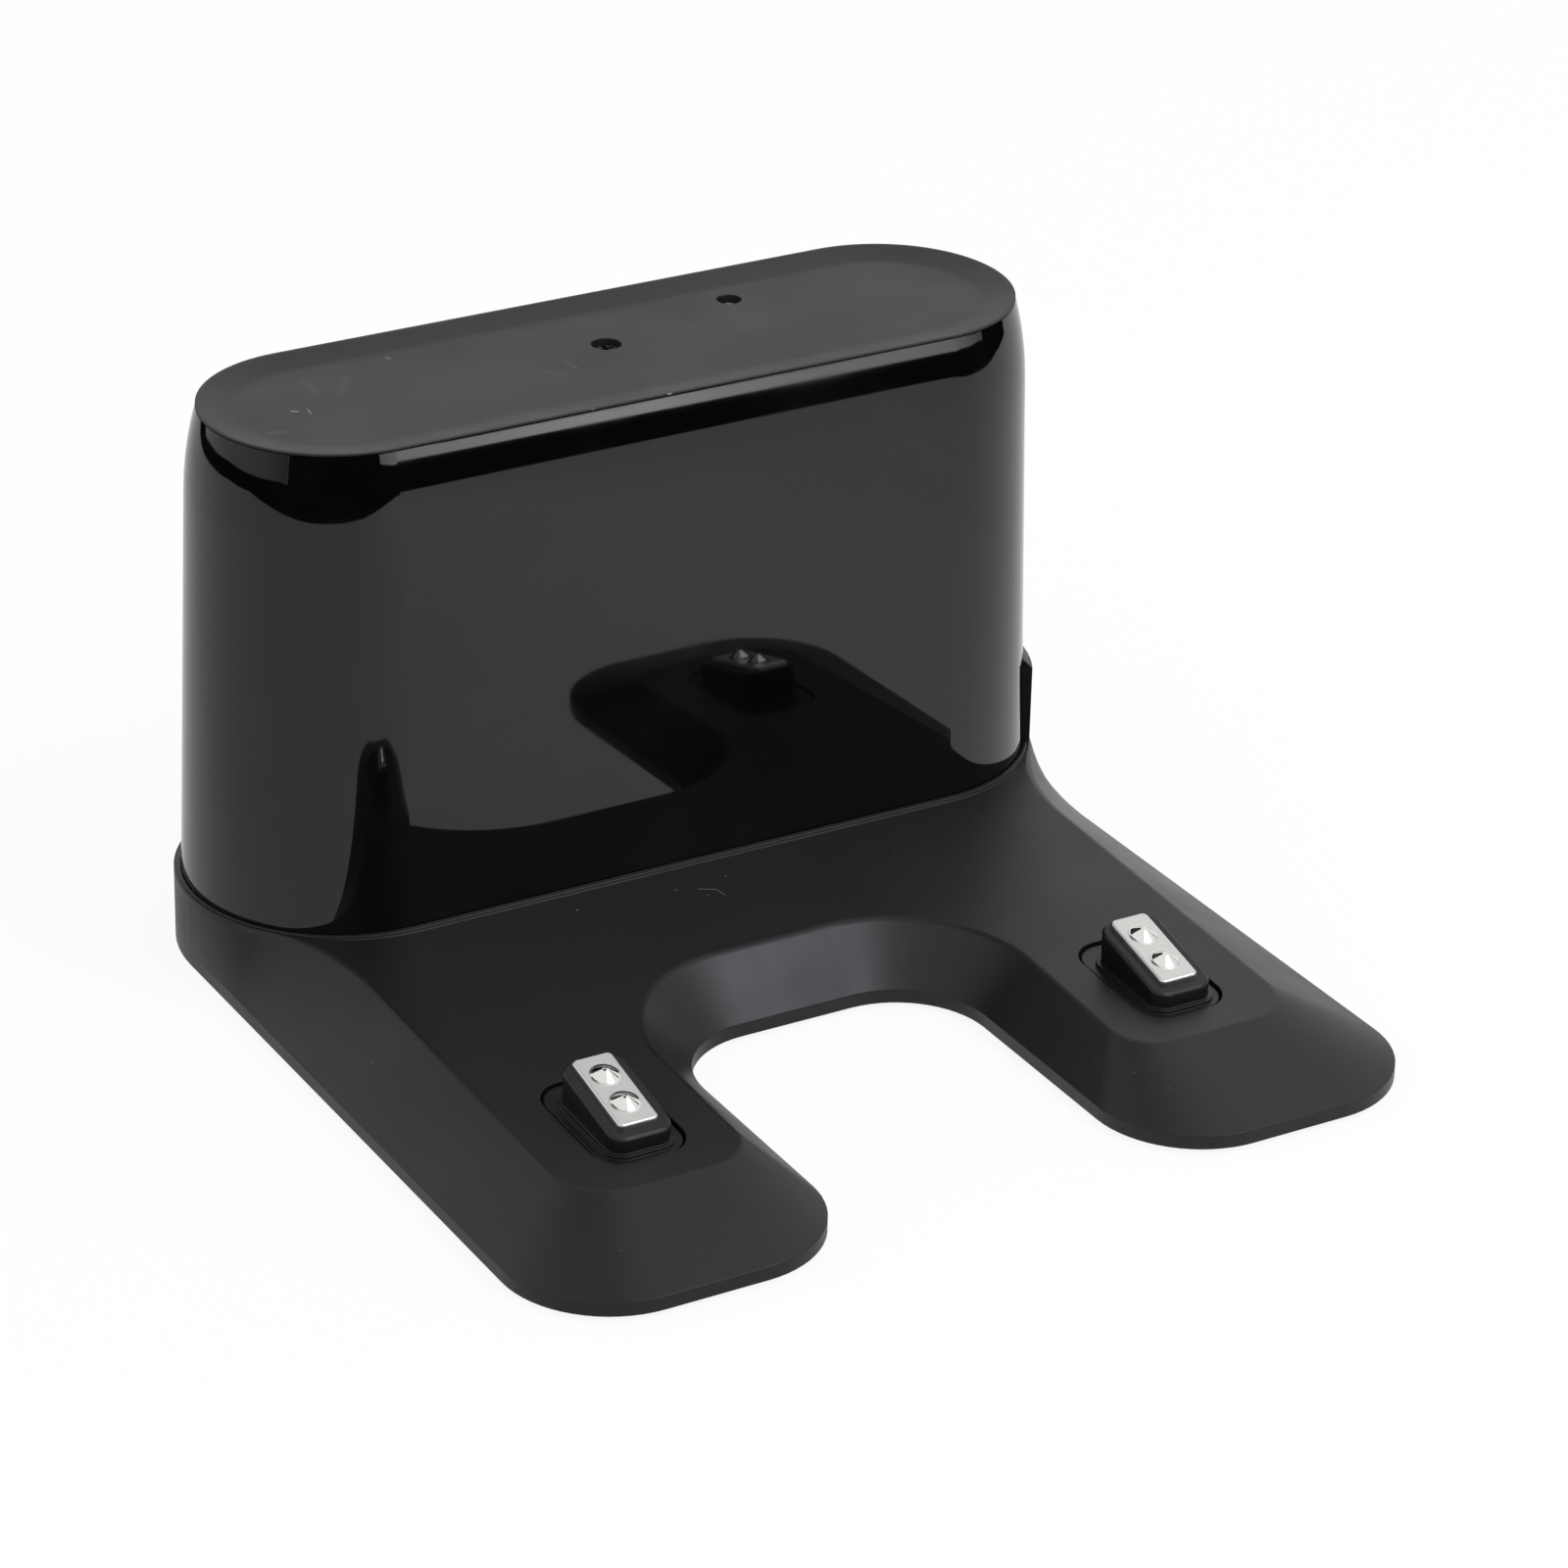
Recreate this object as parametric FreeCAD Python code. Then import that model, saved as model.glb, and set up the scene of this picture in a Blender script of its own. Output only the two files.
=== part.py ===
import FreeCAD, Part
import math
import os

# Robot vacuum charging dock, in millimetres. +Z is up, +Y points to the back, and the origin
# is on the floor under the middle of the dock's outline.

# Outline of the base, seen from above
dock_depth = 149.6
base_half_width = 75.0
rear_half_length = 47.5
rear_radius = 26.5
arm_outer_radius = 17.0
arm_inner_radius = 16.8
notch_half_width = 24.5
notch_depth = 63.5
notch_corner_radius = 14.8

# Sloping skirt round the deck
side_skirt = 13.5
front_skirt = 19.0
notch_skirt = 7.7
ridge_outer_radius = 8.1
ridge_inner_radius = 7.2
ridge_sweep_radius = 36.0
ridge_round = 1.5

# Heights of the base, above its own bottom edge
foot_height = 0.8
lip_height = 2.2
deck_front_height = 8.5
deck_back_height = 11.9
seam_height = 12.1

# Walls and fits
shell_wall = 2.0
skirt_floor_wall = 4.6
ridge_wall = 0.8
lip_wall = 1.2
fit_gap = 0.2
slide_gap = 0.3
cover_thickness = 1.6

# Gloss sleeve of the tower
sleeve_overhang = 0.6
sleeve_foot_radius = 24.8
sleeve_shoulder_radius = 22.85
sleeve_rim_radius = 20.8
shoulder_height = 64.1
sleeve_height = 77.35
sleeve_wall = 2.0
sleeve_rebate_width = 0.75
sleeve_rebate_depth = 1.2
seam_groove_depth = 0.8
seam_lip_width = 0.6

# Key tab at the right end, which lets the sleeve go on one way round only
key_height = 14.5
key_thickness = 2.4
key_start_angle = -31.0
key_end_angle = 9.0
key_chamfer = 1.5

# Dished top cap
cap_rim_height = 0.45
cap_rim_flat = 0.5
cap_rim_draft = 1.5
cap_dish_depth = 1.0
cap_dish_slope = 4.4
cap_floor_thickness = 1.5
cap_plug_depth = 3.0
cap_plug_wall = 1.6
cap_shadow_gap = 0.15
cap_shadow_depth = 0.5
cap_boss_radius = 4.0
cap_boss_depth = 4.0

# Cap screw and light pipe, from the middle of the tower
screw_offset_y = 3.0
screw_hole_radius = 2.4
screw_head_radius = 2.25
screw_head_height = 1.6
screw_head_sink = 0.8
screw_head_round = 0.4
screw_shaft_radius = 1.25
screw_shaft_length = 12.0
screw_bore_gap = 0.05
cross_width = 0.6
cross_length = 2.6
cross_depth = 0.9
light_x = 26.0
light_offset_y = 10.5
light_hole_radius = 2.0
light_pipe_radius = 1.8
light_pipe_sink = 0.7
light_foot_radius = 4.0
light_foot_height = 4.0

# Inner frame that stands in the sleeve
frame_flange_thickness = 2.0
mast_radius = 3.6
mast_bore_room = 1.0
rib_thickness = 1.6
rib_half_width = 9.0
rib_height = 34.0
rail_width = 3.5
rail_depth = 6.0
rail_height = 38.0
rail_overlap = 1.5
post_size = 5.0
post_x = 31.5
post_front_y = -5.5
post_back_y = 3.0
frame_screw_offset = 8.5
frame_boss_radius = 3.5
frame_boss_drop = 6.0
pan_head_radius = 2.8
pan_head_height = 1.9
pan_shaft_length = 6.5

# Cord bay in the back of the tower
bay_half_width = 28.0
bay_bottom = 20.0
bay_height = 30.0
bay_depth = 14.0
bay_wall = 1.6
bay_corner_radius = 4.0
bay_mouth_y = 23.4
bay_leg_length = 6.0

# Two-pin mains inlet in the bay's left wall
inlet_z = 35.0
inlet_inset = 8.8
inlet_pin_spacing = 8.6
inlet_socket_radius = 4.15
inlet_socket_depth = 11.0
inlet_wall = 1.1
inlet_back_wall = 2.0
inlet_flange_lip = 1.6
inlet_flange_thickness = 1.8
inlet_pin_radius = 1.2
inlet_pin_reach = 9.0
inlet_tail_length = 3.0
mains_lead_radius = 0.9
mains_lead_bend = 2.5
mains_lead_pitch = 3.4

# Circuit boards and what stands on them
board_thickness = 1.6
control_board_y = -14.0
control_board_height = 63.0
control_board_half_width = 41.5
power_board_left = 53.0
power_board_right = 42.0
power_board_front = -10.5
power_board_back = 18.0
power_board_gap = 4.0
transformer_x = -17.0
transformer_width = 20.0
transformer_depth = 12.0
transformer_height = 17.0
transformer_limb = 2.8
transformer_leg = 5.4
winding_depth = 17.0
winding_gap = 0.2
bulk_capacitor_x = -35.0
bulk_capacitor_radius = 5.0
bulk_capacitor_height = 18.0
output_capacitor_x = 13.0
output_capacitor_pitch = 11.0
output_capacitor_radius = 4.0
output_capacitor_height = 12.0
capacitor_round = 0.8
choke_x = 33.0
choke_ring_radius = 5.0
choke_wire_radius = 2.4
led_size = 2.8
led_height = 1.9

# Infrared emitters and their baffle, on the front of the control board
emitter_spacing = 14.0
emitter_count = 5
emitter_height = 52.0
emitter_radius = 1.5
emitter_flange_radius = 1.9
emitter_flange_length = 1.0
emitter_length = 3.6
baffle_margin = 8.0
baffle_half_height = 6.0
baffle_depth = 5.6
baffle_mouth_radius = 4.2

# Sprung charging contacts
contact_offset = -0.35
slot_width = 15.1
slot_length = 24.1
slot_front = 24.8
slot_corner_radius = 5.0
slot_gap = 0.5
stop_gap = 0.15
stop_rim = 1.2
stop_rim_thickness = 1.2
flange_drop = 0.4
head_width = 10.3
head_length = 17.6
head_front_gap = 2.1
head_corner_radius = 2.5
head_chamfer = 0.35
tier_step = 0.7
tier_height = 0.15
head_slope = 12.8
head_front_height = 2.6
pocket_wall = 1.6
pocket_corner_radius = 2.0
pocket_ceiling = 10.6
plate_width = 6.6
plate_length = 15.5
plate_shift = 0.7
plate_thickness = 0.8
plate_corner_radius = 0.9
plate_edge_round = 0.35
bump_spacing = 6.3
bump_foot_radius = 2.4
bump_foot_height = 0.12
bump_side_radius = 2.0
bump_tip_radius = 0.5
bump_tip_height = 1.12
bump_height = 1.22
leg_width = 3.0
leg_thickness = 0.5
pad_size = 6.4
pad_thickness = 0.4
spring_radius = 2.7
spring_wire_radius = 0.3
spring_turns = 4.5
terminal_width = 9.0
terminal_length = 17.0
terminal_thickness = 0.4
lead_x = 36.5
lead_radius = 0.8
lead_bend = 6.0
lead_riser_y = -10.0
lead_end_height = 30.0
lead_hole_radius = 2.0

# Feet and screws of the underside
foot_radius = 6.0
foot_recess = 0.8
foot_round = 0.4
screw_boss_radius = 3.2
base_screw_head_radius = 2.4
base_screw_head_height = 1.2
base_screw_length = 4.6
front_screw_inset = 3.0
side_screw_gap = 4.5
side_screw_inset = 10.0
rear_screw_inset = 3.5
rear_screw_offset = 15.0
middle_screw_inset = 12.0
side_foot_offset = 10.5
side_foot_inset = 6.0
rear_foot_offset = 12.0

# Heights and places that follow from the sizes above
base_bottom = foot_height
lip_top = base_bottom + lip_height
seam_top = base_bottom + seam_height
cover_top = base_bottom + cover_thickness
tower_y = dock_depth / 2 - rear_radius
front_y = -dock_depth / 2
notch_y = front_y + notch_depth
ridge_x = base_half_width - side_skirt
contact_x = (ridge_x + notch_half_width + notch_skirt) / 2 + contact_offset
tower_half_length = rear_half_length + sleeve_overhang
frame_screw_x = rear_half_length + frame_screw_offset
side_screw_x = ridge_x - side_screw_gap
rear_screw_x = rear_half_length - rear_screw_inset
side_foot_x = rear_half_length + side_foot_offset
ridge_front_y = front_y + front_skirt
tower_front_y = tower_y - rear_radius + seam_lip_width
sleeve_top = seam_top + sleeve_height
cap_top = sleeve_top + cap_rim_height
cap_floor_top = cap_top - cap_dish_depth
cap_floor_bottom = cap_floor_top - cap_floor_thickness
boss_bottom = cap_floor_top - cap_boss_depth
frame_top = seam_top + frame_flange_thickness
bay_top = bay_bottom + bay_height
power_board_bottom = bay_top + bay_wall + power_board_gap
power_board_top = power_board_bottom + board_thickness
deck_slope = (deck_back_height - deck_front_height) / (tower_front_y - ridge_front_y)
sleeve_draft = (sleeve_foot_radius - sleeve_shoulder_radius) / shoulder_height
plenty = 2 * dock_depth


def deck(y):
    return base_bottom + deck_front_height + deck_slope * (y - ridge_front_y)


def vector(x, y, z):
    return FreeCAD.Vector(x, y, z)


up = vector(0, 0, 1)


# Outline helpers. A path is a start point and steps: (end,) is a line, (middle, end) an arc.
def edges_along(start, steps, place):
    edges = []
    here = start
    for step in steps:
        there = step[-1]
        if len(step) == 2:
            curve = Part.Arc(place(here), place(step[0]), place(there))
        else:
            curve = Part.LineSegment(place(here), place(there))
        edges.append(curve.toShape())
        here = there
    return edges


def flip(point):
    return (-point[0], point[1])


def mirrored_back(start, steps):
    points = [start] + [step[-1] for step in steps]
    back = []
    for index in range(len(steps) - 1, -1, -1):
        target = flip(points[index])
        if len(steps[index]) == 2:
            back.append((flip(steps[index][0]), target))
        else:
            back.append((target,))
    return back


def rounded_corner(before, corner, after, radius):
    legs = []
    for other in (before, after):
        length = math.dist(corner, other)
        legs.append(((other[0] - corner[0]) / length, (other[1] - corner[1]) / length))
    half_angle = math.acos(legs[0][0] * legs[1][0] + legs[0][1] * legs[1][1]) / 2
    reach = radius / math.tan(half_angle)
    bisector = (legs[0][0] + legs[1][0], legs[0][1] + legs[1][1])
    to_middle = (radius / math.sin(half_angle) - radius) / math.hypot(*bisector)
    start = (corner[0] + legs[0][0] * reach, corner[1] + legs[0][1] * reach)
    middle = (corner[0] + bisector[0] * to_middle, corner[1] + bisector[1] * to_middle)
    end = (corner[0] + legs[1][0] * reach, corner[1] + legs[1][1] * reach)
    return start, middle, end


def closed_with_corners(start, first_steps, corners, radii, last):
    points = [first_steps[-1][-1]] + corners + [last]
    steps = list(first_steps)
    for index, radius in enumerate(radii):
        arc_start, middle, end = rounded_corner(points[index], points[index + 1], points[index + 2], radius)
        steps.append((arc_start,))
        steps.append((middle, end))
    steps.append((last,))
    return steps + mirrored_back(start, steps) + [(start,)]


# The ridge leaves the rear block's round end on a tangent arc and runs into the straight side.
def ridge_sweep(inset):
    circle_radius = rear_radius - inset
    sweep_radius = ridge_sweep_radius + inset
    centre_x = -(ridge_x - inset) - sweep_radius
    run_x = centre_x + rear_half_length
    run_y = -math.sqrt((sweep_radius + circle_radius) ** 2 - run_x ** 2)
    leave_angle = math.atan2(run_y, run_x)
    on_circle = []
    for angle in (math.pi, leave_angle, math.pi + (leave_angle + math.pi) / 2):
        on_circle.append((-rear_half_length + circle_radius * math.cos(angle),
                          tower_y + circle_radius * math.sin(angle)))
    middle_angle = (leave_angle + math.pi) / 2
    sweep_middle = (centre_x + sweep_radius * math.cos(middle_angle),
                    tower_y + run_y + sweep_radius * math.sin(middle_angle))
    sweep_end = (centre_x + sweep_radius, tower_y + run_y)
    return on_circle[0], on_circle[2], on_circle[1], sweep_middle, sweep_end


def ridge_path(inset):
    start, arc_middle, leave, sweep_middle, sweep_end = ridge_sweep(inset)
    side = -(ridge_x - inset)
    notch_side = -(notch_half_width + notch_skirt + inset)
    front = ridge_front_y + inset
    back = notch_y + notch_skirt + inset
    corners = [(side, front), (notch_side, front), (notch_side, back)]
    radii = [ridge_outer_radius - inset, ridge_inner_radius - inset,
             notch_corner_radius + notch_skirt + inset]
    first = [(arc_middle, leave), (sweep_middle, sweep_end)]
    return start, closed_with_corners(start, first, corners, radii, (0, back))


# The floor outline leaves the rear block's round end on a tangent line to the front corner.
def floor_path(inset):
    leave = ridge_sweep(inset)[2]
    sweep_end = ridge_sweep(inset)[4]
    side = -(base_half_width - inset)
    notch_side = -(notch_half_width + inset)
    front = front_y + inset
    back = notch_y + inset
    circle_radius = rear_radius - inset
    corner_run = (side + rear_half_length, front - tower_y)
    corner_angle = math.atan2(corner_run[1], corner_run[0])
    tangent_angle = corner_angle - math.acos(circle_radius / math.hypot(*corner_run))
    start = (-rear_half_length + circle_radius * math.cos(tangent_angle),
             tower_y + circle_radius * math.sin(tangent_angle))

    def on_side(y):
        share = (start[1] - y) / (start[1] - front)
        return (start[0] + (side - start[0]) * share, y)

    corners = [(side, front), (notch_side, front), (notch_side, back)]
    radii = [arm_outer_radius - inset, arm_inner_radius - inset, notch_corner_radius + inset]
    first = [(on_side(leave[1]),), (on_side(sweep_end[1]),)]
    return start, closed_with_corners(start, first, corners, radii, (0, back))


def ruled_solid(lower_edges, upper_edges):
    faces = [Part.makeRuledSurface(low, high) for low, high in zip(lower_edges, upper_edges)]
    faces.append(Part.Face(Part.Wire(lower_edges)))
    faces.append(Part.Face(Part.Wire(upper_edges)))
    shell = Part.makeShell(faces)
    shell.sewShape()
    solid = Part.makeSolid(shell)
    if solid.Volume < 0:
        solid.reverse()
    return solid


# Solids of a few plain kinds
def box(x0, x1, y0, y1, z0, z1):
    return Part.makeBox(x1 - x0, y1 - y0, z1 - z0, vector(x0, y0, z0))


def cylinder(x, y, z0, z1, radius):
    return Part.makeCylinder(radius, z1 - z0, vector(x, y, z0))


def rounded_slab(x, y, width, length, radius, z0, z1):
    half_x = width / 2
    half_y = length / 2
    corners = [(x - half_x, y - half_y), (x + half_x, y - half_y),
               (x + half_x, y + half_y), (x - half_x, y + half_y)]
    steps = []
    for index in range(4):
        after = corners[(index + 1) % 4]
        start, middle, end = rounded_corner(corners[index - 1], corners[index], after, radius)
        steps.append((start,))
        steps.append((middle, end))
    edges = edges_along(steps[-1][-1], steps, lambda point: vector(point[0], point[1], z0))
    return Part.Face(Part.Wire(edges)).extrude(vector(0, 0, z1 - z0))


def stadium(half_length, radius, z0, z1):
    return rounded_stadium_face(half_length, radius, z0).extrude(vector(0, 0, z1 - z0))


def rounded_stadium_face(half_length, radius, z):
    left = -half_length
    right = half_length
    front = tower_y - radius
    back = tower_y + radius
    steps = [((right + radius, tower_y), (right, back)), ((left, back),),
             ((left - radius, tower_y), (left, front)), ((right, front),)]
    edges = edges_along((right, front), steps, lambda point: vector(point[0], point[1], z))
    return Part.Face(Part.Wire(edges))


# A section of (radius, height) points carried round the tower's stadium outline
def round_tower(start, steps, half_length):
    edges = edges_along(start, steps, lambda point: vector(half_length, tower_y - point[0], point[1]))
    section = Part.Face(Part.Wire(edges))
    right_axis = vector(half_length, tower_y, 0)
    left_axis = vector(-half_length, tower_y, 0)
    across = vector(-2 * half_length, 0, 0)
    back_section = section.copy()
    back_section.rotate(right_axis, up, 180)
    left_section = section.copy()
    left_section.translate(across)
    pieces = [section.extrude(across), back_section.extrude(across),
              left_section.revolve(left_axis, up, -180)]
    return section.revolve(right_axis, up, 180).fuse(pieces).removeSplitter()


def revolved(points, x, y, z, degrees=360):
    wire = Part.makePolygon([vector(x + radius, y, z + height) for radius, height in points + points[:1]])
    return Part.Face(wire).revolve(vector(x, y, 0), up, degrees)


# A sheet between two planes that lie parallel to a sloping line, low and high above it
def sloping_sheet(height_at, low, high):
    near = -plenty
    far = plenty
    corners = [(near, height_at(near) + low), (far, height_at(far) + low),
               (far, height_at(far) + high), (near, height_at(near) + high)]
    wire = Part.makePolygon([vector(-plenty, y, z) for y, z in corners + corners[:1]])
    return Part.Face(wire).extrude(vector(2 * plenty, 0, 0))


def tube_along(points, bends, radius):
    path = []
    here = points[0]
    for index, bend in enumerate(bends):
        corner = points[index + 1]
        to_here = (here - corner).normalize()
        to_next = (points[index + 2] - corner).normalize()
        half_angle = to_here.getAngle(to_next) / 2
        reach = bend / math.tan(half_angle)
        bisector = (to_here + to_next).normalize()
        middle = corner + bisector * (bend / math.sin(half_angle) - bend)
        arc_start = corner + to_here * reach
        arc_end = corner + to_next * reach
        path.append(Part.LineSegment(here, arc_start).toShape())
        path.append(Part.Arc(arc_start, middle, arc_end).toShape())
        here = arc_end
    if here.distanceToPoint(points[-1]) > fit_gap:
        path.append(Part.LineSegment(here, points[-1]).toShape())
    direction = points[1] - points[0]
    section = Part.Wire(Part.makeCircle(radius, points[0], direction))
    return Part.Wire(path).makePipeShell([section], True, True)


def mirrored(shape):
    return shape.mirror(vector(0, 0, 0), vector(1, 0, 0))


# Base shell: a moulded tray with a sloping skirt, two arms and a rear block
def base_body(floor_inset, ridge_inset, z_floor, deck_drop):
    floor_start, floor_steps = floor_path(floor_inset)
    ridge_start, ridge_steps = ridge_path(ridge_inset)
    lower = edges_along(floor_start, floor_steps, lambda point: vector(point[0], point[1], z_floor))
    upper = edges_along(ridge_start, ridge_steps,
                        lambda point: vector(point[0], point[1], deck(point[1]) - deck_drop))
    return ruled_solid(lower, upper)


def below(solid, z):
    return solid.common(box(-plenty, plenty, -plenty, plenty, -plenty, z))


def floor_plate(inset, z0, z1):
    start, steps = floor_path(inset)
    edges = edges_along(start, steps, lambda point: vector(point[0], point[1], z0))
    arms = Part.Face(Part.Wire(edges)).extrude(vector(0, 0, z1 - z0))
    return arms.fuse(stadium(rear_half_length, rear_radius - inset, z0, z1)).removeSplitter()


def base_outside():
    rear_block = stadium(rear_half_length, rear_radius, base_bottom, seam_top)
    skirt = base_body(0, 0, lip_top, 0)
    ridge = []
    for edge in skirt.Edges:
        on_deck = all(abs(deck(corner.Y) - corner.Z) < fit_gap / 2 for corner in edge.Vertexes)
        if on_deck and edge.BoundBox.YMin < tower_y - fit_gap:
            ridge.append(edge)
    skirt = below(skirt.makeFillet(ridge_round, ridge), seam_top)
    return skirt.fuse([floor_plate(0, base_bottom, lip_top), rear_block]).removeSplitter()


slot_y = front_y + slot_front + slot_length / 2
base_screw_places = [(0, tower_front_y - middle_screw_inset)]
foot_places = [(0, tower_y + rear_foot_offset)]
for side in (-1, 1):
    base_screw_places.append((side * contact_x, ridge_front_y - front_screw_inset))
    base_screw_places.append((side * side_screw_x, tower_front_y - side_screw_inset))
    base_screw_places.append((side * rear_screw_x, tower_y + rear_screw_offset))
    foot_places.append((side * contact_x, slot_y))
    foot_places.append((side * side_foot_x, tower_y - side_foot_inset))


def key_tab(gap):
    outer = rear_radius + gap
    inner = rear_radius - key_thickness - gap
    top = seam_top + key_height + gap
    points = [(inner, seam_top - shell_wall), (outer, seam_top - shell_wall), (outer, top - key_chamfer),
              (outer - key_chamfer, top), (inner, top)]
    swing = math.degrees(gap / inner)
    tab = revolved(points, rear_half_length, tower_y, 0, key_end_angle - key_start_angle + 2 * swing)
    tab.rotate(vector(rear_half_length, tower_y, 0), up, key_start_angle - swing)
    return tab


def base_shell():
    outside = base_outside()
    hollow = below(base_body(skirt_floor_wall, ridge_wall, cover_top, shell_wall), seam_top - shell_wall)
    rear_hollow = stadium(rear_half_length, rear_radius - shell_wall, cover_top, seam_top - shell_wall)
    seat = floor_plate(lip_wall, base_bottom, cover_top)
    shell = outside.cut([hollow, rear_hollow, seat])
    bosses = []
    for x, y in base_screw_places:
        bosses.append(cylinder(x, y, cover_top, seam_top, screw_boss_radius))
    for x in (-frame_screw_x, frame_screw_x):
        bosses.append(cylinder(x, tower_y, seam_top - frame_boss_drop, seam_top, frame_boss_radius))
    shell = shell.fuse([boss.common(outside) for boss in bosses])
    holes = []
    for x in (-contact_x, contact_x):
        holes.append(rounded_slab(x, slot_y, slot_width, slot_length, slot_corner_radius, cover_top, plenty))
    for x in (-lead_x, lead_x):
        holes.append(cylinder(x, tower_y + lead_riser_y, cover_top, plenty, lead_hole_radius))
    for x, y in base_screw_places:
        holes.append(cylinder(x, y, cover_top, cover_top + base_screw_length,
                              screw_shaft_radius + screw_bore_gap))
    for x in (-frame_screw_x, frame_screw_x):
        holes.append(cylinder(x, tower_y, seam_top - pan_shaft_length, plenty,
                              screw_shaft_radius + screw_bore_gap))
    groove_bottom = seam_top - seam_groove_depth
    groove = stadium(rear_half_length, rear_radius - seam_lip_width, groove_bottom, seam_top)
    land = stadium(tower_half_length, sleeve_foot_radius - sleeve_wall - slide_gap, groove_bottom, seam_top)
    holes.append(groove.cut(land))
    return shell.cut(holes).fuse(key_tab(0)).removeSplitter()


# Underside: flat cover, rubber feet and countersunk screws
def base_cover():
    cover = floor_plate(lip_wall + fit_gap, base_bottom, cover_top)
    holes = []
    for x, y in foot_places:
        holes.append(cylinder(x, y, base_bottom, base_bottom + foot_recess, foot_radius + fit_gap))
    for x, y in base_screw_places:
        holes.append(countersunk(x, y, screw_bore_gap, cover_thickness))
    return cover.cut(holes)


def countersunk(x, y, gap, length):
    head = base_screw_head_radius + gap
    shaft = screw_shaft_radius + gap
    points = [(0, 0), (head, 0), (shaft, base_screw_head_height), (shaft, length), (0, length)]
    return revolved(points, x, y, base_bottom)


def rubber_feet():
    feet = []
    for x, y in foot_places:
        foot = cylinder(x, y, 0, foot_height + foot_recess, foot_radius)
        rim = [edge for edge in foot.Edges if edge.BoundBox.ZMax < foot_height]
        feet.append(foot.makeFillet(foot_round, rim))
    return Part.makeCompound(feet)


def base_screws():
    length = cover_thickness + base_screw_length - fit_gap
    return Part.makeCompound([countersunk(x, y, 0, length) for x, y in base_screw_places])


# Arc that leaves its start point in the direction leave_angle, measured from straight up
def tangent_arc(start, end, leave_angle):
    chord_angle = math.atan2(end[0] - start[0], end[1] - start[1])
    half_turn = chord_angle - leave_angle
    radius = math.dist(start, end) / 2 / math.sin(abs(half_turn))
    bulge = radius * (1 - math.cos(half_turn))
    middle = ((start[0] + end[0]) / 2 + bulge * math.cos(chord_angle),
              (start[1] + end[1]) / 2 - bulge * math.sin(chord_angle))
    return middle, end


# Tower sleeve: a drafted wall that stands in the base's groove, a shoulder arc and a rebate for the cap
def tower_sleeve():
    wall_angle = -math.atan(sleeve_draft)
    foot = (sleeve_foot_radius + sleeve_draft * seam_groove_depth, seam_top - seam_groove_depth)
    inner_foot = (foot[0] - sleeve_wall, foot[1])
    shoulder = (sleeve_shoulder_radius, seam_top + shoulder_height)
    rim = (sleeve_rim_radius, sleeve_top)
    rebate_bottom = sleeve_top - sleeve_rebate_depth
    rebate_edge = sleeve_rim_radius - sleeve_rebate_width
    inner_shoulder = (sleeve_shoulder_radius - sleeve_wall, seam_top + shoulder_height)
    inner_rim = (sleeve_rim_radius - sleeve_wall, rebate_bottom)
    inner_middle = tangent_arc(inner_shoulder, inner_rim, wall_angle)[0]
    steps = [(shoulder,), tangent_arc(shoulder, rim, wall_angle),
             ((rebate_edge, sleeve_top),), ((rebate_edge, rebate_bottom),), (inner_rim,),
             (inner_middle, inner_shoulder), (inner_foot,), (foot,)]
    sleeve = round_tower(foot, steps, tower_half_length)
    window = bay_block(slide_gap, tower_y + bay_mouth_y - bay_depth, plenty)
    return sleeve.cut([window, key_tab(fit_gap)])


def bay_block(margin, y0, y1):
    width = 2 * (bay_half_width + bay_wall + margin)
    height = bay_height + 2 * (bay_wall + margin)
    block = rounded_slab(0, 0, width, height, bay_corner_radius + margin, 0, y1 - y0)
    block.rotate(vector(0, 0, 0), vector(1, 0, 0), 90)
    block.translate(vector(0, y1, bay_bottom + bay_height / 2))
    return block


# Top cap: shallow dish with a thin rim, a plug that fits in the sleeve and two bosses
def top_cap():
    plug_radius = sleeve_rim_radius - sleeve_wall - slide_gap
    rim = sleeve_rim_radius - math.tan(math.radians(cap_rim_draft)) * cap_rim_height
    dish_edge = rim - cap_rim_flat
    floor_edge = dish_edge - cap_dish_slope
    plug_bottom = cap_floor_bottom - cap_plug_depth
    seat = sleeve_rim_radius - cap_shadow_depth
    step_radius = sleeve_rim_radius - sleeve_rebate_width - slide_gap
    step_bottom = sleeve_top - sleeve_rebate_depth + slide_gap
    steps = [((floor_edge, cap_floor_top),), ((dish_edge, cap_top),), ((rim, cap_top),),
             ((sleeve_rim_radius, sleeve_top + cap_shadow_gap),), ((seat, sleeve_top + cap_shadow_gap),),
             ((seat, sleeve_top),), ((step_radius, sleeve_top),), ((step_radius, step_bottom),),
             ((plug_radius, step_bottom),), ((plug_radius, plug_bottom),),
             ((plug_radius - cap_plug_wall, plug_bottom),),
             ((plug_radius - cap_plug_wall, cap_floor_bottom),),
             ((0, cap_floor_bottom),), ((0, cap_floor_top),)]
    cap = round_tower((0, cap_floor_top), steps, tower_half_length)
    screw_y = tower_y + screw_offset_y
    light_y = tower_y + light_offset_y
    bosses = [cylinder(0, screw_y, boss_bottom, cap_floor_top, cap_boss_radius),
              cylinder(light_x, light_y, boss_bottom, cap_floor_top, cap_boss_radius)]
    holes = [cylinder(0, screw_y, screw_seat, plenty, screw_hole_radius),
             cylinder(0, screw_y, boss_bottom, plenty, screw_shaft_radius + screw_bore_gap),
             cylinder(light_x, light_y, boss_bottom, plenty, light_hole_radius)]
    return cap.fuse(bosses).cut(holes).removeSplitter()


screw_top = cap_floor_top - screw_head_sink
screw_seat = screw_top - screw_head_height


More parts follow.
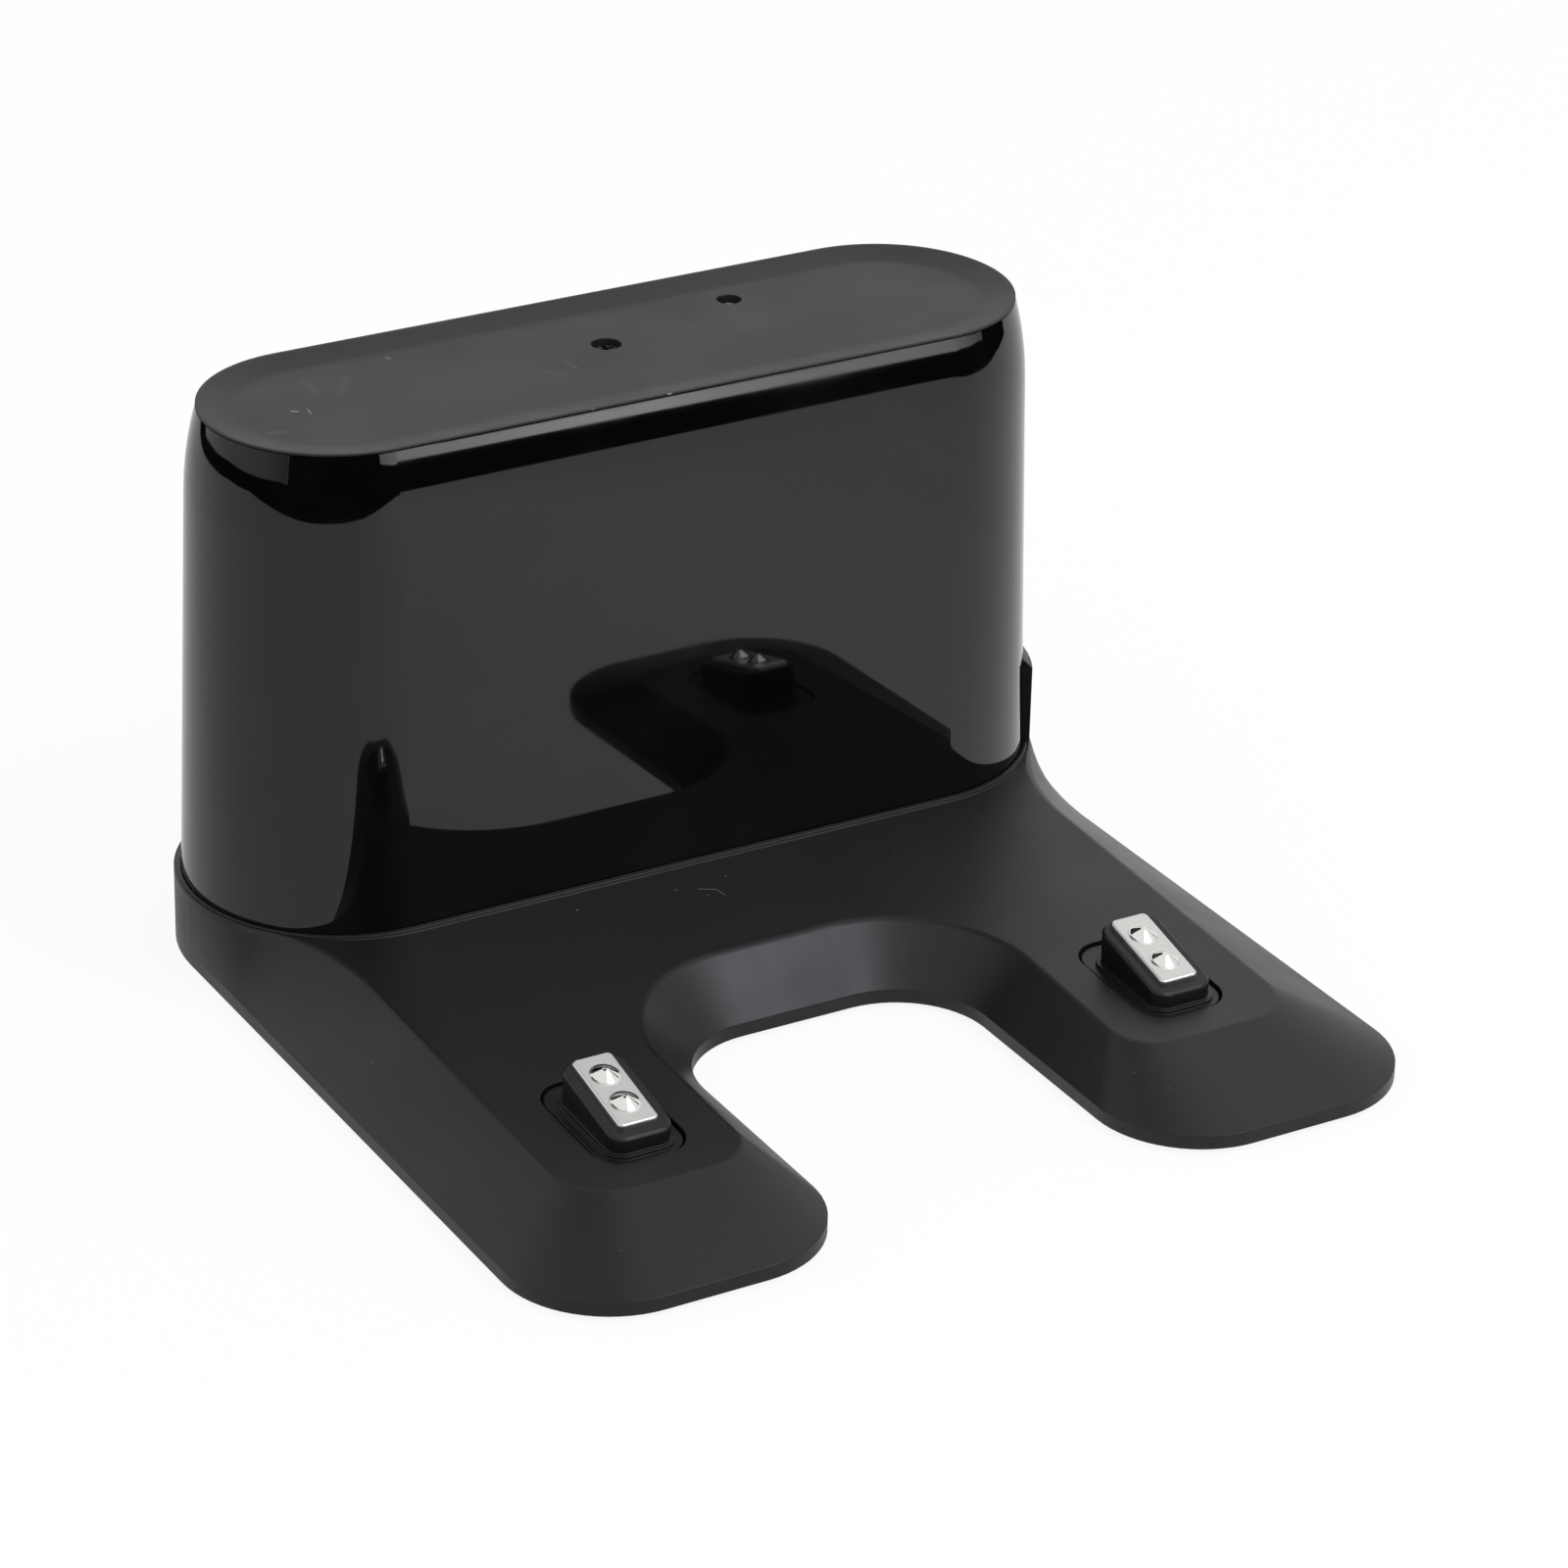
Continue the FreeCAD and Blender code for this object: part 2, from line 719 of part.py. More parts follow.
def cap_screw():
    y = tower_y + screw_offset_y
    head = cylinder(0, y, screw_seat, screw_top, screw_head_radius)
    rim = [edge for edge in head.Edges if edge.BoundBox.ZMin > screw_seat + screw_head_height / 2]
    head = head.makeFillet(screw_head_round, rim)
    shaft = cylinder(0, y, screw_seat - screw_shaft_length, screw_seat, screw_shaft_radius)
    recess = []
    for turn in (0, 90):
        bar = box(-cross_length / 2, cross_length / 2, -cross_width / 2, cross_width / 2,
                  screw_top - cross_depth, screw_top + cross_depth)
        bar.rotate(vector(0, 0, 0), up, turn)
        bar.translate(vector(0, y, 0))
        recess.append(bar)
    return head.fuse(shaft).cut(recess).removeSplitter()


# Inner frame: flange, screw mast with ribs, board rails and board posts
def inner_frame():
    flange = stadium(tower_half_length, sleeve_foot_radius - sleeve_wall - slide_gap
                     - sleeve_draft * frame_flange_thickness, seam_top, frame_top)
    key_room = key_tab(slide_gap)
    screw_y = tower_y + screw_offset_y
    parts = [cylinder(0, screw_y, frame_top, boss_bottom, mast_radius),
             box(-rib_half_width, rib_half_width, screw_y - rib_thickness / 2, screw_y + rib_thickness / 2,
                 frame_top, frame_top + rib_height)]
    rail_inner = control_board_half_width - rail_overlap
    rail_y = tower_y + control_board_y
    for side in (-1, 1):
        edges = sorted((side * rail_inner, side * (rail_inner + rail_width)))
        rail = box(edges[0], edges[1], rail_y - rail_depth / 2, rail_y + rail_depth / 2,
                   frame_top, frame_top + rail_height)
        half_slot = board_thickness / 2 + fit_gap
        groove = box(-control_board_half_width - fit_gap, control_board_half_width + fit_gap,
                     rail_y - half_slot, rail_y + half_slot, frame_top, plenty)
        parts.append(rail.cut(groove))
        for post_y in (post_front_y, post_back_y):
            parts.append(box(side * post_x - post_size / 2, side * post_x + post_size / 2,
                             tower_y + post_y - post_size / 2, tower_y + post_y + post_size / 2,
                             frame_top, power_board_bottom))
    holes = [cylinder(0, screw_y, screw_seat - screw_shaft_length - mast_bore_room, plenty,
                      screw_shaft_radius + screw_bore_gap)]
    for side in (-1, 1):
        holes.append(cylinder(side * lead_x, tower_y + lead_riser_y, seam_top, frame_top, lead_hole_radius))
        holes.append(cylinder(side * frame_screw_x, tower_y, seam_top, frame_top,
                              screw_shaft_radius + screw_bore_gap))
    return flange.fuse(parts).cut(holes + [key_room]).removeSplitter()


def frame_screws():
    screws = []
    for x in (-frame_screw_x, frame_screw_x):
        points = [(0, -pan_shaft_length - frame_flange_thickness + fit_gap),
                  (screw_shaft_radius, -pan_shaft_length - frame_flange_thickness + fit_gap),
                  (screw_shaft_radius, 0), (pan_head_radius, 0), (pan_head_radius, pan_head_height),
                  (0, pan_head_height)]
        screws.append(revolved(points, x, tower_y, frame_top))
    return Part.makeCompound(screws)


# Cord bay: a tray in the back of the tower, with legs on the frame's flange
def cord_bay():
    mouth = tower_y + bay_mouth_y
    tray = bay_block(0, mouth - bay_depth - bay_wall, mouth)
    room = bay_block(-bay_wall, mouth - bay_depth, plenty)
    legs = []
    for x in (-bay_half_width / 2, bay_half_width / 2):
        legs.append(box(x - bay_leg_length / 2, x + bay_leg_length / 2, mouth - bay_depth - bay_wall,
                        mouth - bay_depth + bay_leg_length, frame_top, bay_bottom - bay_wall))
    snout = inlet_block(inlet_wall + fit_gap, -bay_half_width - bay_wall - fit_gap, -bay_half_width + fit_gap)
    return tray.fuse(legs).cut([room, snout]).removeSplitter()


# Mains inlet: the socket opens into the bay, towards +X
inlet_y = tower_y + bay_mouth_y - inlet_inset
inlet_face_x = -bay_half_width
inlet_flange_x = inlet_face_x - bay_wall
inlet_back_x = inlet_face_x - inlet_socket_depth - inlet_back_wall


def inlet_block(margin, x0, x1):
    width = 2 * (inlet_socket_radius + margin)
    block = rounded_slab(0, 0, inlet_pin_spacing + width, width, width / 2 - fit_gap / 2, 0, x1 - x0)
    block.rotate(vector(0, 0, 0), vector(0, 1, 0), 90)
    block.translate(vector(x0, inlet_y, inlet_z))
    return block


def mains_inlet():
    body = inlet_block(inlet_wall, inlet_back_x, inlet_face_x)
    flange = inlet_block(inlet_wall + inlet_flange_lip, inlet_flange_x - inlet_flange_thickness,
                         inlet_flange_x)
    socket = inlet_block(0, inlet_face_x - inlet_socket_depth, inlet_face_x)
    holes = [pin_shape(side, screw_bore_gap) for side in (-1, 1)]
    return body.fuse(flange).cut([socket] + holes).removeSplitter()


def pin_shape(side, gap):
    start = inlet_back_x - inlet_tail_length
    end = inlet_face_x - inlet_socket_depth + inlet_pin_reach
    return Part.makeCylinder(inlet_pin_radius + gap, end - start,
                             vector(start, inlet_y, inlet_z + side * inlet_pin_spacing / 2), vector(1, 0, 0))


def inlet_pins():
    return Part.makeCompound([pin_shape(side, 0) for side in (-1, 1)])


def mains_leads():
    start_x = inlet_back_x - inlet_tail_length
    leads = []
    for side in (-1, 1):
        z = inlet_z + side * inlet_pin_spacing / 2
        riser_x = start_x - mains_lead_bend - fit_gap - (1 - side) / 2 * mains_lead_pitch
        points = [vector(start_x, inlet_y, z), vector(riser_x, inlet_y, z),
                  vector(riser_x, inlet_y, power_board_bottom)]
        leads.append(tube_along(points, [mains_lead_bend], mains_lead_radius))
    return Part.makeCompound(leads)


# Boards
def power_board():
    board = box(-power_board_left, power_board_right, tower_y + power_board_front, tower_y + power_board_back,
                power_board_bottom, power_board_top)
    mast_hole = cylinder(0, tower_y + screw_offset_y, power_board_bottom, power_board_top,
                         mast_radius + slide_gap)
    return board.cut(mast_hole)


def control_board():
    y = tower_y + control_board_y
    return box(-control_board_half_width, control_board_half_width, y - board_thickness / 2,
               y + board_thickness / 2, frame_top, frame_top + control_board_height)


def transformer_core():
    core = box(transformer_x - transformer_width / 2, transformer_x + transformer_width / 2,
               tower_y - transformer_depth / 2, tower_y + transformer_depth / 2,
               power_board_top, power_board_top + transformer_height)
    windows = []
    for side in (-1, 1):
        edges = sorted((transformer_x + side * transformer_leg / 2,
                        transformer_x + side * (transformer_width / 2 - transformer_limb)))
        windows.append(box(edges[0], edges[1], tower_y - transformer_depth, tower_y + transformer_depth,
                           power_board_top + transformer_limb,
                           power_board_top + transformer_height - transformer_limb))
    return core.cut(windows)


def transformer_winding():
    half_width = transformer_width / 2 - transformer_limb - winding_gap
    bottom = power_board_top + transformer_limb
    top = power_board_top + transformer_height - transformer_limb - winding_gap
    winding = rounded_slab(transformer_x, tower_y, 2 * half_width, winding_depth, half_width / 2, bottom, top)
    half_leg = transformer_leg / 2 + winding_gap
    half_depth = transformer_depth / 2 + winding_gap
    leg = box(transformer_x - half_leg, transformer_x + half_leg, tower_y - half_depth, tower_y + half_depth,
              bottom, top)
    return winding.cut(leg)


def capacitor(x, y, radius, height):
    can = cylinder(x, y, power_board_top, power_board_top + height, radius)
    rim = [edge for edge in can.Edges if edge.BoundBox.ZMin > power_board_top + height / 2]
    return can.makeFillet(capacitor_round, rim)


def bulk_capacitor():
    return capacitor(bulk_capacitor_x, tower_y, bulk_capacitor_radius, bulk_capacitor_height)


def output_capacitors():
    cans = []
    for side in (-1, 1):
        cans.append(capacitor(output_capacitor_x, tower_y + side * output_capacitor_pitch / 2,
                              output_capacitor_radius, output_capacitor_height))
    return Part.makeCompound(cans)


def filter_choke():
    centre = vector(choke_x, tower_y, power_board_top + choke_wire_radius)
    ring = Part.makeTorus(choke_ring_radius, choke_wire_radius, centre, up)
    foot = cylinder(choke_x, tower_y, power_board_top, power_board_top + choke_wire_radius, choke_ring_radius)
    return ring.fuse(foot)


def status_led():
    return box(light_x - led_size / 2, light_x + led_size / 2, tower_y + light_offset_y - led_size / 2,
               tower_y + light_offset_y + led_size / 2, power_board_top, power_board_top + led_height)


def light_pipe():
    y = tower_y + light_offset_y
    top = cap_floor_top - light_pipe_sink
    rod = cylinder(light_x, y, power_board_top, top - light_pipe_radius, light_pipe_radius)
    dome = Part.makeSphere(light_pipe_radius, vector(light_x, y, top - light_pipe_radius))
    foot = cylinder(light_x, y, power_board_top, power_board_top + light_foot_height, light_foot_radius)
    pocket = cylinder(light_x, y, power_board_top, power_board_top + led_height + fit_gap,
                      led_size * math.sqrt(0.5) + fit_gap)
    return rod.fuse([dome, foot]).cut(pocket).removeSplitter()


# Infrared emitters face the front through a baffle
emitter_places = [emitter_spacing * (index - (emitter_count - 1) / 2) for index in range(emitter_count)]
emitter_back_y = tower_y + control_board_y - board_thickness / 2


def emitter(x):
    points = [(0, 0), (emitter_flange_radius, 0), (emitter_flange_radius, emitter_flange_length),
              (emitter_radius, emitter_flange_length), (emitter_radius, emitter_length), (0, emitter_length)]
    body = revolved(points, 0, 0, 0)
    dome = Part.makeSphere(emitter_radius, vector(0, 0, emitter_length))
    lamp = body.fuse(dome).removeSplitter()
    lamp.rotate(vector(0, 0, 0), vector(1, 0, 0), 90)
    lamp.translate(vector(x, emitter_back_y, emitter_height))
    return lamp


def ir_emitters():
    return Part.makeCompound([emitter(x) for x in emitter_places])


def beam_baffle():
    half_width = emitter_places[-1] + baffle_margin
    block = box(-half_width, half_width, emitter_back_y - baffle_depth, emitter_back_y,
                emitter_height - baffle_half_height, emitter_height + baffle_half_height)
    holes = []
    for x in emitter_places:
        holes.append(Part.makeCone(emitter_flange_radius + fit_gap, baffle_mouth_radius, baffle_depth,
                                   vector(x, emitter_back_y, emitter_height), vector(0, -1, 0)))
    return block.cut(holes)


# Contacts: each block slides straight down in its slot, against a spring on a terminal strip
head_y = front_y + slot_front + head_front_gap + head_length / 2
head_front_y = head_y - head_length / 2
slope_share = math.tan(math.radians(head_slope))
stop_top = -shell_wall - stop_gap


def head_height(y):
    return deck(head_front_y) + head_front_height + slope_share * (y - head_front_y)


def sheet_piece(width, length, y, radius, low, high):
    column = rounded_slab(0, y, width, length, radius, 0, cap_top)
    return column.common(sloping_sheet(deck, low, high))


def contact_block():
    rim = sheet_piece(slot_width + 2 * stop_rim, slot_length + 2 * stop_rim, slot_y,
                      slot_corner_radius + stop_rim, stop_top - stop_rim_thickness, stop_top)
    guide = sheet_piece(slot_width - 2 * slot_gap, slot_length - 2 * slot_gap, slot_y,
                        slot_corner_radius - slot_gap, stop_top - stop_rim_thickness, -flange_drop)
    tier = sheet_piece(head_width + 2 * tier_step, head_length + 2 * tier_step, head_y,
                       head_corner_radius + tier_step, stop_top, tier_height)
    column = rounded_slab(0, head_y, head_width, head_length, head_corner_radius, deck(head_front_y), cap_top)
    head = column.common(sloping_sheet(head_height, -plenty, 0))
    top_edges = [edge for edge in head.Edges
                 if all(abs(head_height(vertex.Y) - vertex.Z) < fit_gap / 2 for vertex in edge.Vertexes)]
    head = head.makeChamfer(head_chamfer, top_edges)
    pocket = rounded_slab(0, head_y, head_width - 2 * pocket_wall, head_length - 2 * pocket_wall,
                          pocket_corner_radius, 0, pocket_ceiling)
    half_slit = (leg_thickness + fit_gap) / 2
    slit = box(-(leg_width + fit_gap) / 2, (leg_width + fit_gap) / 2, head_y - half_slit, head_y + half_slit,
               0, cap_top)
    return head.fuse([rim, guide, tier]).cut([pocket, slit]).removeSplitter()


def bump(y):
    side = [(0, 0), (bump_foot_radius, 0), (bump_side_radius, bump_foot_height),
            (bump_tip_radius, bump_tip_height), (0, bump_height)]
    return revolved(side, 0, y, plate_thickness)


def contact_plate():
    plate = rounded_slab(0, 0, plate_width, plate_length, plate_corner_radius, 0, plate_thickness)
    rim = [edge for edge in plate.Edges if edge.BoundBox.ZMin > plate_thickness / 2]
    plate = plate.makeFillet(plate_edge_round, rim)
    plate = plate.fuse([bump(-bump_spacing / 2), bump(bump_spacing / 2)]).removeSplitter()
    plate.rotate(vector(0, 0, 0), vector(1, 0, 0), head_slope)
    plate_y = head_y + plate_shift
    plate.translate(vector(0, plate_y, head_height(plate_y)))
    leg = box(-leg_width / 2, leg_width / 2, head_y - leg_thickness / 2, head_y + leg_thickness / 2,
              pocket_ceiling - pad_thickness, head_height(head_y) + plate_thickness / 2)
    pad = box(-pad_size / 2, pad_size / 2, head_y - pad_size / 2, head_y + pad_size / 2,
              pocket_ceiling - pad_thickness, pocket_ceiling)
    return plate.fuse([leg, pad]).removeSplitter()


def contact_spring():
    low = cover_top + terminal_thickness + spring_wire_radius
    high = pocket_ceiling - pad_thickness - spring_wire_radius
    helix = Part.makeLongHelix((high - low) / spring_turns, high - low, spring_radius)
    section = Part.Wire(Part.makeCircle(spring_wire_radius, vector(spring_radius, 0, 0), vector(0, 1, 0)))
    coil = Part.Wire(helix).makePipeShell([section], True, True)
    coil.translate(vector(0, head_y, low))
    return coil


def spring_terminal():
    strip = rounded_slab(contact_x, head_y, terminal_width, terminal_length, plate_corner_radius,
                         cover_top, cover_top + terminal_thickness)
    tab_y = head_y + terminal_length / 2
    tab = box(lead_x - 2 * lead_radius, contact_x, tab_y - 6 * lead_radius, tab_y - lead_radius,
              cover_top, cover_top + terminal_thickness)
    return strip.fuse(tab).removeSplitter()


def contact_lead():
    z = cover_top + terminal_thickness + lead_radius
    riser_y = tower_y + lead_riser_y
    board_y = tower_y + control_board_y + board_thickness / 2
    points = [vector(lead_x, head_y + terminal_length / 2 - 5 * lead_radius, z), vector(lead_x, riser_y, z),
              vector(lead_x, riser_y, lead_end_height), vector(lead_x, board_y, lead_end_height)]
    return tube_along(points, [lead_bend, riser_y - board_y], lead_radius)


def moved(shape, x):
    copy = shape.copy()
    copy.translate(vector(x, 0, 0))
    return copy


def write(name, shape):
    solids = shape.Solids
    result = solids[0] if len(solids) == 1 else Part.makeCompound(solids)
    result.exportStep("parts/" + name + ".step")
    print(name, len(solids), "valid" if result.isValid() else "NOT VALID", round(result.Volume, 1))


def main():
    os.makedirs("parts", exist_ok=True)
    write("base_shell", base_shell())
    write("base_cover", base_cover())
    write("rubber_feet", rubber_feet())
    write("base_screws", base_screws())
    write("tower_sleeve", tower_sleeve())
    write("top_cap", top_cap())
    write("cap_screw", cap_screw())
    write("inner_frame", inner_frame())
    write("frame_screws", frame_screws())
    write("cord_bay", cord_bay())
    write("mains_inlet", mains_inlet())
    write("inlet_pins", inlet_pins())
    write("mains_leads", mains_leads())
    write("power_board", power_board())
    write("transformer_core", transformer_core())
    write("transformer_winding", transformer_winding())
    write("bulk_capacitor", bulk_capacitor())
    write("output_capacitors", output_capacitors())
    write("filter_choke", filter_choke())
    write("status_led", status_led())
    write("light_pipe", light_pipe())
    write("control_board", control_board())
    write("ir_emitters", ir_emitters())
    write("beam_baffle", beam_baffle())
    block = contact_block()
    plate = contact_plate()
    spring = contact_spring()
    terminal = spring_terminal()
    lead = contact_lead()
    for side, x in (("left", -contact_x), ("right", contact_x)):
        write(side + "_contact_block", moved(block, x))
        write(side + "_contact_plate", moved(plate, x))
        write(side + "_contact_spring", moved(spring, x))
    write("right_spring_terminal", terminal)
    write("left_spring_terminal", mirrored(terminal))
    write("right_contact_lead", lead)
    write("left_contact_lead", mirrored(lead))


main()
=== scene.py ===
import bpy
import math
from mathutils import Matrix, Vector


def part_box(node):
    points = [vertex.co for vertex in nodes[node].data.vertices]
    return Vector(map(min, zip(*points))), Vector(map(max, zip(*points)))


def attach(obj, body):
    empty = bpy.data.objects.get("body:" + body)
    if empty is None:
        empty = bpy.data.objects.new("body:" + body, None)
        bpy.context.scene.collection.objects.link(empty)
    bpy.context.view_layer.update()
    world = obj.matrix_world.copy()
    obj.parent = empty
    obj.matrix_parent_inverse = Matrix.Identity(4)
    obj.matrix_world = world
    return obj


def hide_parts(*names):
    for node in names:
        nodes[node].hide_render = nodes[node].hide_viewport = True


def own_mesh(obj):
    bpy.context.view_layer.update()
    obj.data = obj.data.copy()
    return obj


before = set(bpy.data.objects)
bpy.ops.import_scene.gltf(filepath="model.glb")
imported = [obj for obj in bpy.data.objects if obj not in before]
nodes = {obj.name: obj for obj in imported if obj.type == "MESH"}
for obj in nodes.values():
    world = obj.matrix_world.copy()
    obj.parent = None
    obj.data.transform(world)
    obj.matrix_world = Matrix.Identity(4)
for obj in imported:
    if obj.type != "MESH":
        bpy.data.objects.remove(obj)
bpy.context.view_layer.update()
mm = 0.001
mergeGap = 0.002  # points closer than this become one, mm
towerAxisY = 48.3  # the tower's long axis, mm
print("frame loaded,", len(nodes), "nodes")


# Small tools
def toLinear(colour):  # "#rrggbb" in sRGB to a linear RGBA value
    parts = [int(colour[i:i + 2], 16) / 255 for i in (1, 3, 5)]
    return [c / 12.92 if c <= 0.04045 else ((c + 0.055) / 1.055) ** 2.4 for c in parts] + [1.0]


# Sockets without a plain name go by number. In a Map Range 0 to 4 are the value, from low, from high, to low
# and to high, and in a colour Mix 0, 6 and 7 are the share and the two colours.
def addNode(tree, kind, settings=None):  # one node with its settings; a setting that is a socket gets linked
    node = tree.nodes.new(kind)
    for key, value in (settings or {}).items():
        if isinstance(value, bpy.types.NodeSocket):
            tree.links.new(value, node.inputs[key])
        elif isinstance(key, int) or key in node.inputs:
            node.inputs[key].default_value = value
        else:
            setattr(node, key, value)
    return node


def newMaterial(name):  # an empty material, with its output and its Object coordinates
    material = bpy.data.materials.new(name)
    material.use_nodes = True
    tree = material.node_tree
    tree.nodes.clear()
    output = addNode(tree, "ShaderNodeOutputMaterial")
    place = addNode(tree, "ShaderNodeTexCoord").outputs["Object"]
    return material, tree, output, place


def newFinish(name):  # a material of the object itself, with its shader
    material, tree, output, place = newMaterial(name)
    shader = addNode(tree, "ShaderNodeBsdfPrincipled")
    tree.links.new(shader.outputs[0], output.inputs["Surface"])
    return material, tree, shader, place


def perMetre(sizeInMm):  # texture scale for a feature of that size
    return 1 / (sizeInMm * mm)


def deselect():
    if bpy.context.object and bpy.context.object.mode != "OBJECT":
        bpy.ops.object.mode_set(mode="OBJECT")
    bpy.ops.object.select_all(action="DESELECT")


def drawOutline(name, points, closed=True):  # points in metres, drawn one after another; stays in edit mode
    deselect()
    bpy.ops.mesh.primitive_plane_add(size=mm, location=points[0])
    piece = bpy.context.object
    piece.name = name
    bpy.ops.object.transform_apply(location=True, rotation=True, scale=True)
    bpy.ops.object.mode_set(mode="EDIT")
    bpy.ops.mesh.select_all(action="SELECT")
    bpy.ops.mesh.merge(type="CENTER")
    here = Vector(points[0])
    for point in points[1:]:
        step = Vector(point) - here
        bpy.ops.mesh.extrude_vertices_move(TRANSFORM_OT_translate={"value": step})
        here = Vector(point)
    if closed:
        bpy.ops.object.mode_set(mode="OBJECT")
        vertices = piece.data.vertices
        vertices[0].select = True
        vertices[len(vertices) - 1].select = True
        bpy.ops.object.mode_set(mode="EDIT")
        bpy.ops.mesh.edge_face_add()
    bpy.ops.mesh.select_all(action="SELECT")
    return piece


def closeUp(piece, angle):  # merge doubles, point faces outwards, smooth below that edge angle
    deselect()
    piece.select_set(True)
    bpy.context.view_layer.objects.active = piece
    bpy.ops.object.mode_set(mode="EDIT")
    bpy.ops.mesh.select_all(action="SELECT")
    bpy.ops.mesh.remove_doubles(threshold=mergeGap * mm)
    bpy.ops.mesh.normals_make_consistent(inside=False)
    bpy.ops.object.mode_set(mode="OBJECT")
    bpy.ops.object.shade_smooth_by_angle(angle=math.radians(angle))


# Camera at the photograph's place, found from the dock's own outlines
photoCamera = {
    "azimuth": -30.518, "elevation": 26.551, "roll": 1.306,  # degrees
    "distance": 939.966, "sideShift": 27.774, "upShift": 12.777,  # mm
    "focalPixels": 5966.083, "framePixels": 1600, "sensor": 36.0,
    "aim": (0.0, towerAxisY, 0.8),  # middle of the tower, at the base's bottom edge, mm
    "clipEnd": 20.0,  # metres
}


def makeCamera(look):
    a, e, r = (math.radians(look[key]) for key in ("azimuth", "elevation", "roll"))
    back = Vector((math.sin(a) * math.cos(e), -math.cos(a) * math.cos(e), math.sin(e)))
    right = Vector((math.cos(a), math.sin(a), 0))
    up = back.cross(right)
    turnedRight = right * math.cos(r) + up * math.sin(r)
    turnedUp = up * math.cos(r) - right * math.sin(r)
    place = Vector(look["aim"]) + back * look["distance"]
    place += turnedRight * look["sideShift"] + turnedUp * look["upShift"]
    turn = Matrix((turnedRight, turnedUp, back)).transposed().to_4x4()
    deselect()
    bpy.ops.object.camera_add()
    camera = bpy.context.object
    camera.matrix_world = Matrix.Translation(place * mm) @ turn
    camera.data.sensor_width = look["sensor"]
    camera.data.lens = look["focalPixels"] / look["framePixels"] * look["sensor"]
    camera.data.clip_end = look["clipEnd"]
    bpy.context.scene.camera = camera


makeCamera(photoCamera)
print("camera placed")


# Materials of the object
absIor = 1.53
absTint = "#f6f6ff"  # the photo's gloss on black plastic is a trace bluer than white
markCore = 0.3  # share of a mark's width that has its full strength


def dustMask(tree, place, look):  # sparse round specks, sizes in mm
    cells = addNode(tree, "ShaderNodeTexVoronoi",
                    {"Vector": place, "Scale": perMetre(look["dustSpacing"]), "Randomness": 1.0})
    speck = addNode(tree, "ShaderNodeMapRange",
                    {0: cells.outputs["Distance"], 1: look["dustRadius"] / look["dustSpacing"], 2: 0.0})
    pick = addNode(tree, "ShaderNodeSeparateColor", {0: cells.outputs["Color"]})
    kept = addNode(tree, "ShaderNodeMath",
                   {"operation": "GREATER_THAN", 0: pick.outputs[0], 1: 1 - look["dustShare"]})
    size = addNode(tree, "ShaderNodeMath", {"operation": "MULTIPLY", 0: speck.outputs[0], 1: kept.outputs[0]})
    faded = addNode(tree, "ShaderNodeMath", {"operation": "MULTIPLY", 0: size.outputs[0], 1: pick.outputs[1]})
    return faded.outputs[0]


def markMask(tree, place, marks):  # thin straight marks, each (start, end, width, strength), in mm
    total = None
    for start, end, width, strength in marks:
        start, end = Vector(start) * mm, Vector(end) * mm
        run = end - start
        fromStart = addNode(tree, "ShaderNodeVectorMath", {"operation": "SUBTRACT", 0: place, 1: start})
        along = addNode(tree, "ShaderNodeVectorMath", {"operation": "DOT_PRODUCT", 0: fromStart.outputs[0],
                                                       1: run / run.length_squared})
        share = addNode(tree, "ShaderNodeClamp", {0: along.outputs["Value"]})
        nearest = addNode(tree, "ShaderNodeVectorMath", {"operation": "SCALE", 0: run,
                                                         "Scale": share.outputs[0]})
        away = addNode(tree, "ShaderNodeVectorMath", {"operation": "DISTANCE", 0: fromStart.outputs[0],
                                                      1: nearest.outputs[0]})
        mark = addNode(tree, "ShaderNodeMapRange", {0: away.outputs["Value"], 1: width * mm,
                                                    2: markCore * width * mm, 4: strength}).outputs[0]
        if total is not None:
            mark = addNode(tree, "ShaderNodeMath", {"operation": "MAXIMUM", 0: total, 1: mark}).outputs[0]
        total = mark
    return total


def dishRadius(tree, place, dish, edge):  # the foot of the dish's slope runs out softly, all round the cap
    sides = addNode(tree, "ShaderNodeSeparateXYZ", {0: place})
    eitherEnd = addNode(tree, "ShaderNodeMath", {"operation": "ABSOLUTE", 0: sides.outputs[0]})
    past = addNode(tree, "ShaderNodeMath",
                   {"operation": "SUBTRACT", 0: eitherEnd.outputs[0], 1: dish["halfLength"] * mm})
    end = addNode(tree, "ShaderNodeMath", {"operation": "MAXIMUM", 0: past.outputs[0], 1: 0.0})
    across = addNode(tree, "ShaderNodeMath",
                     {"operation": "SUBTRACT", 0: sides.outputs[1], 1: dish["axisY"] * mm})
    offset = addNode(tree, "ShaderNodeCombineXYZ", {0: end.outputs[0], 1: across.outputs[0]})
    fromAxis = addNode(tree, "ShaderNodeVectorMath", {"operation": "LENGTH", 0: offset.outputs[0]})
    fromFoot = addNode(tree, "ShaderNodeMath",
                       {"operation": "SUBTRACT", 0: fromAxis.outputs["Value"], 1: dish["foot"] * mm})
    away = addNode(tree, "ShaderNodeMath", {"operation": "ABSOLUTE", 0: fromFoot.outputs[0]})
    radius = addNode(tree, "ShaderNodeMapRange",
                     {"interpolation_type": "SMOOTHSTEP", 0: away.outputs[0], 1: 0.0, 2: dish["reach"] * mm,
                      3: dish["soft"] * mm, 4: edge * mm})
    return radius.outputs[0]


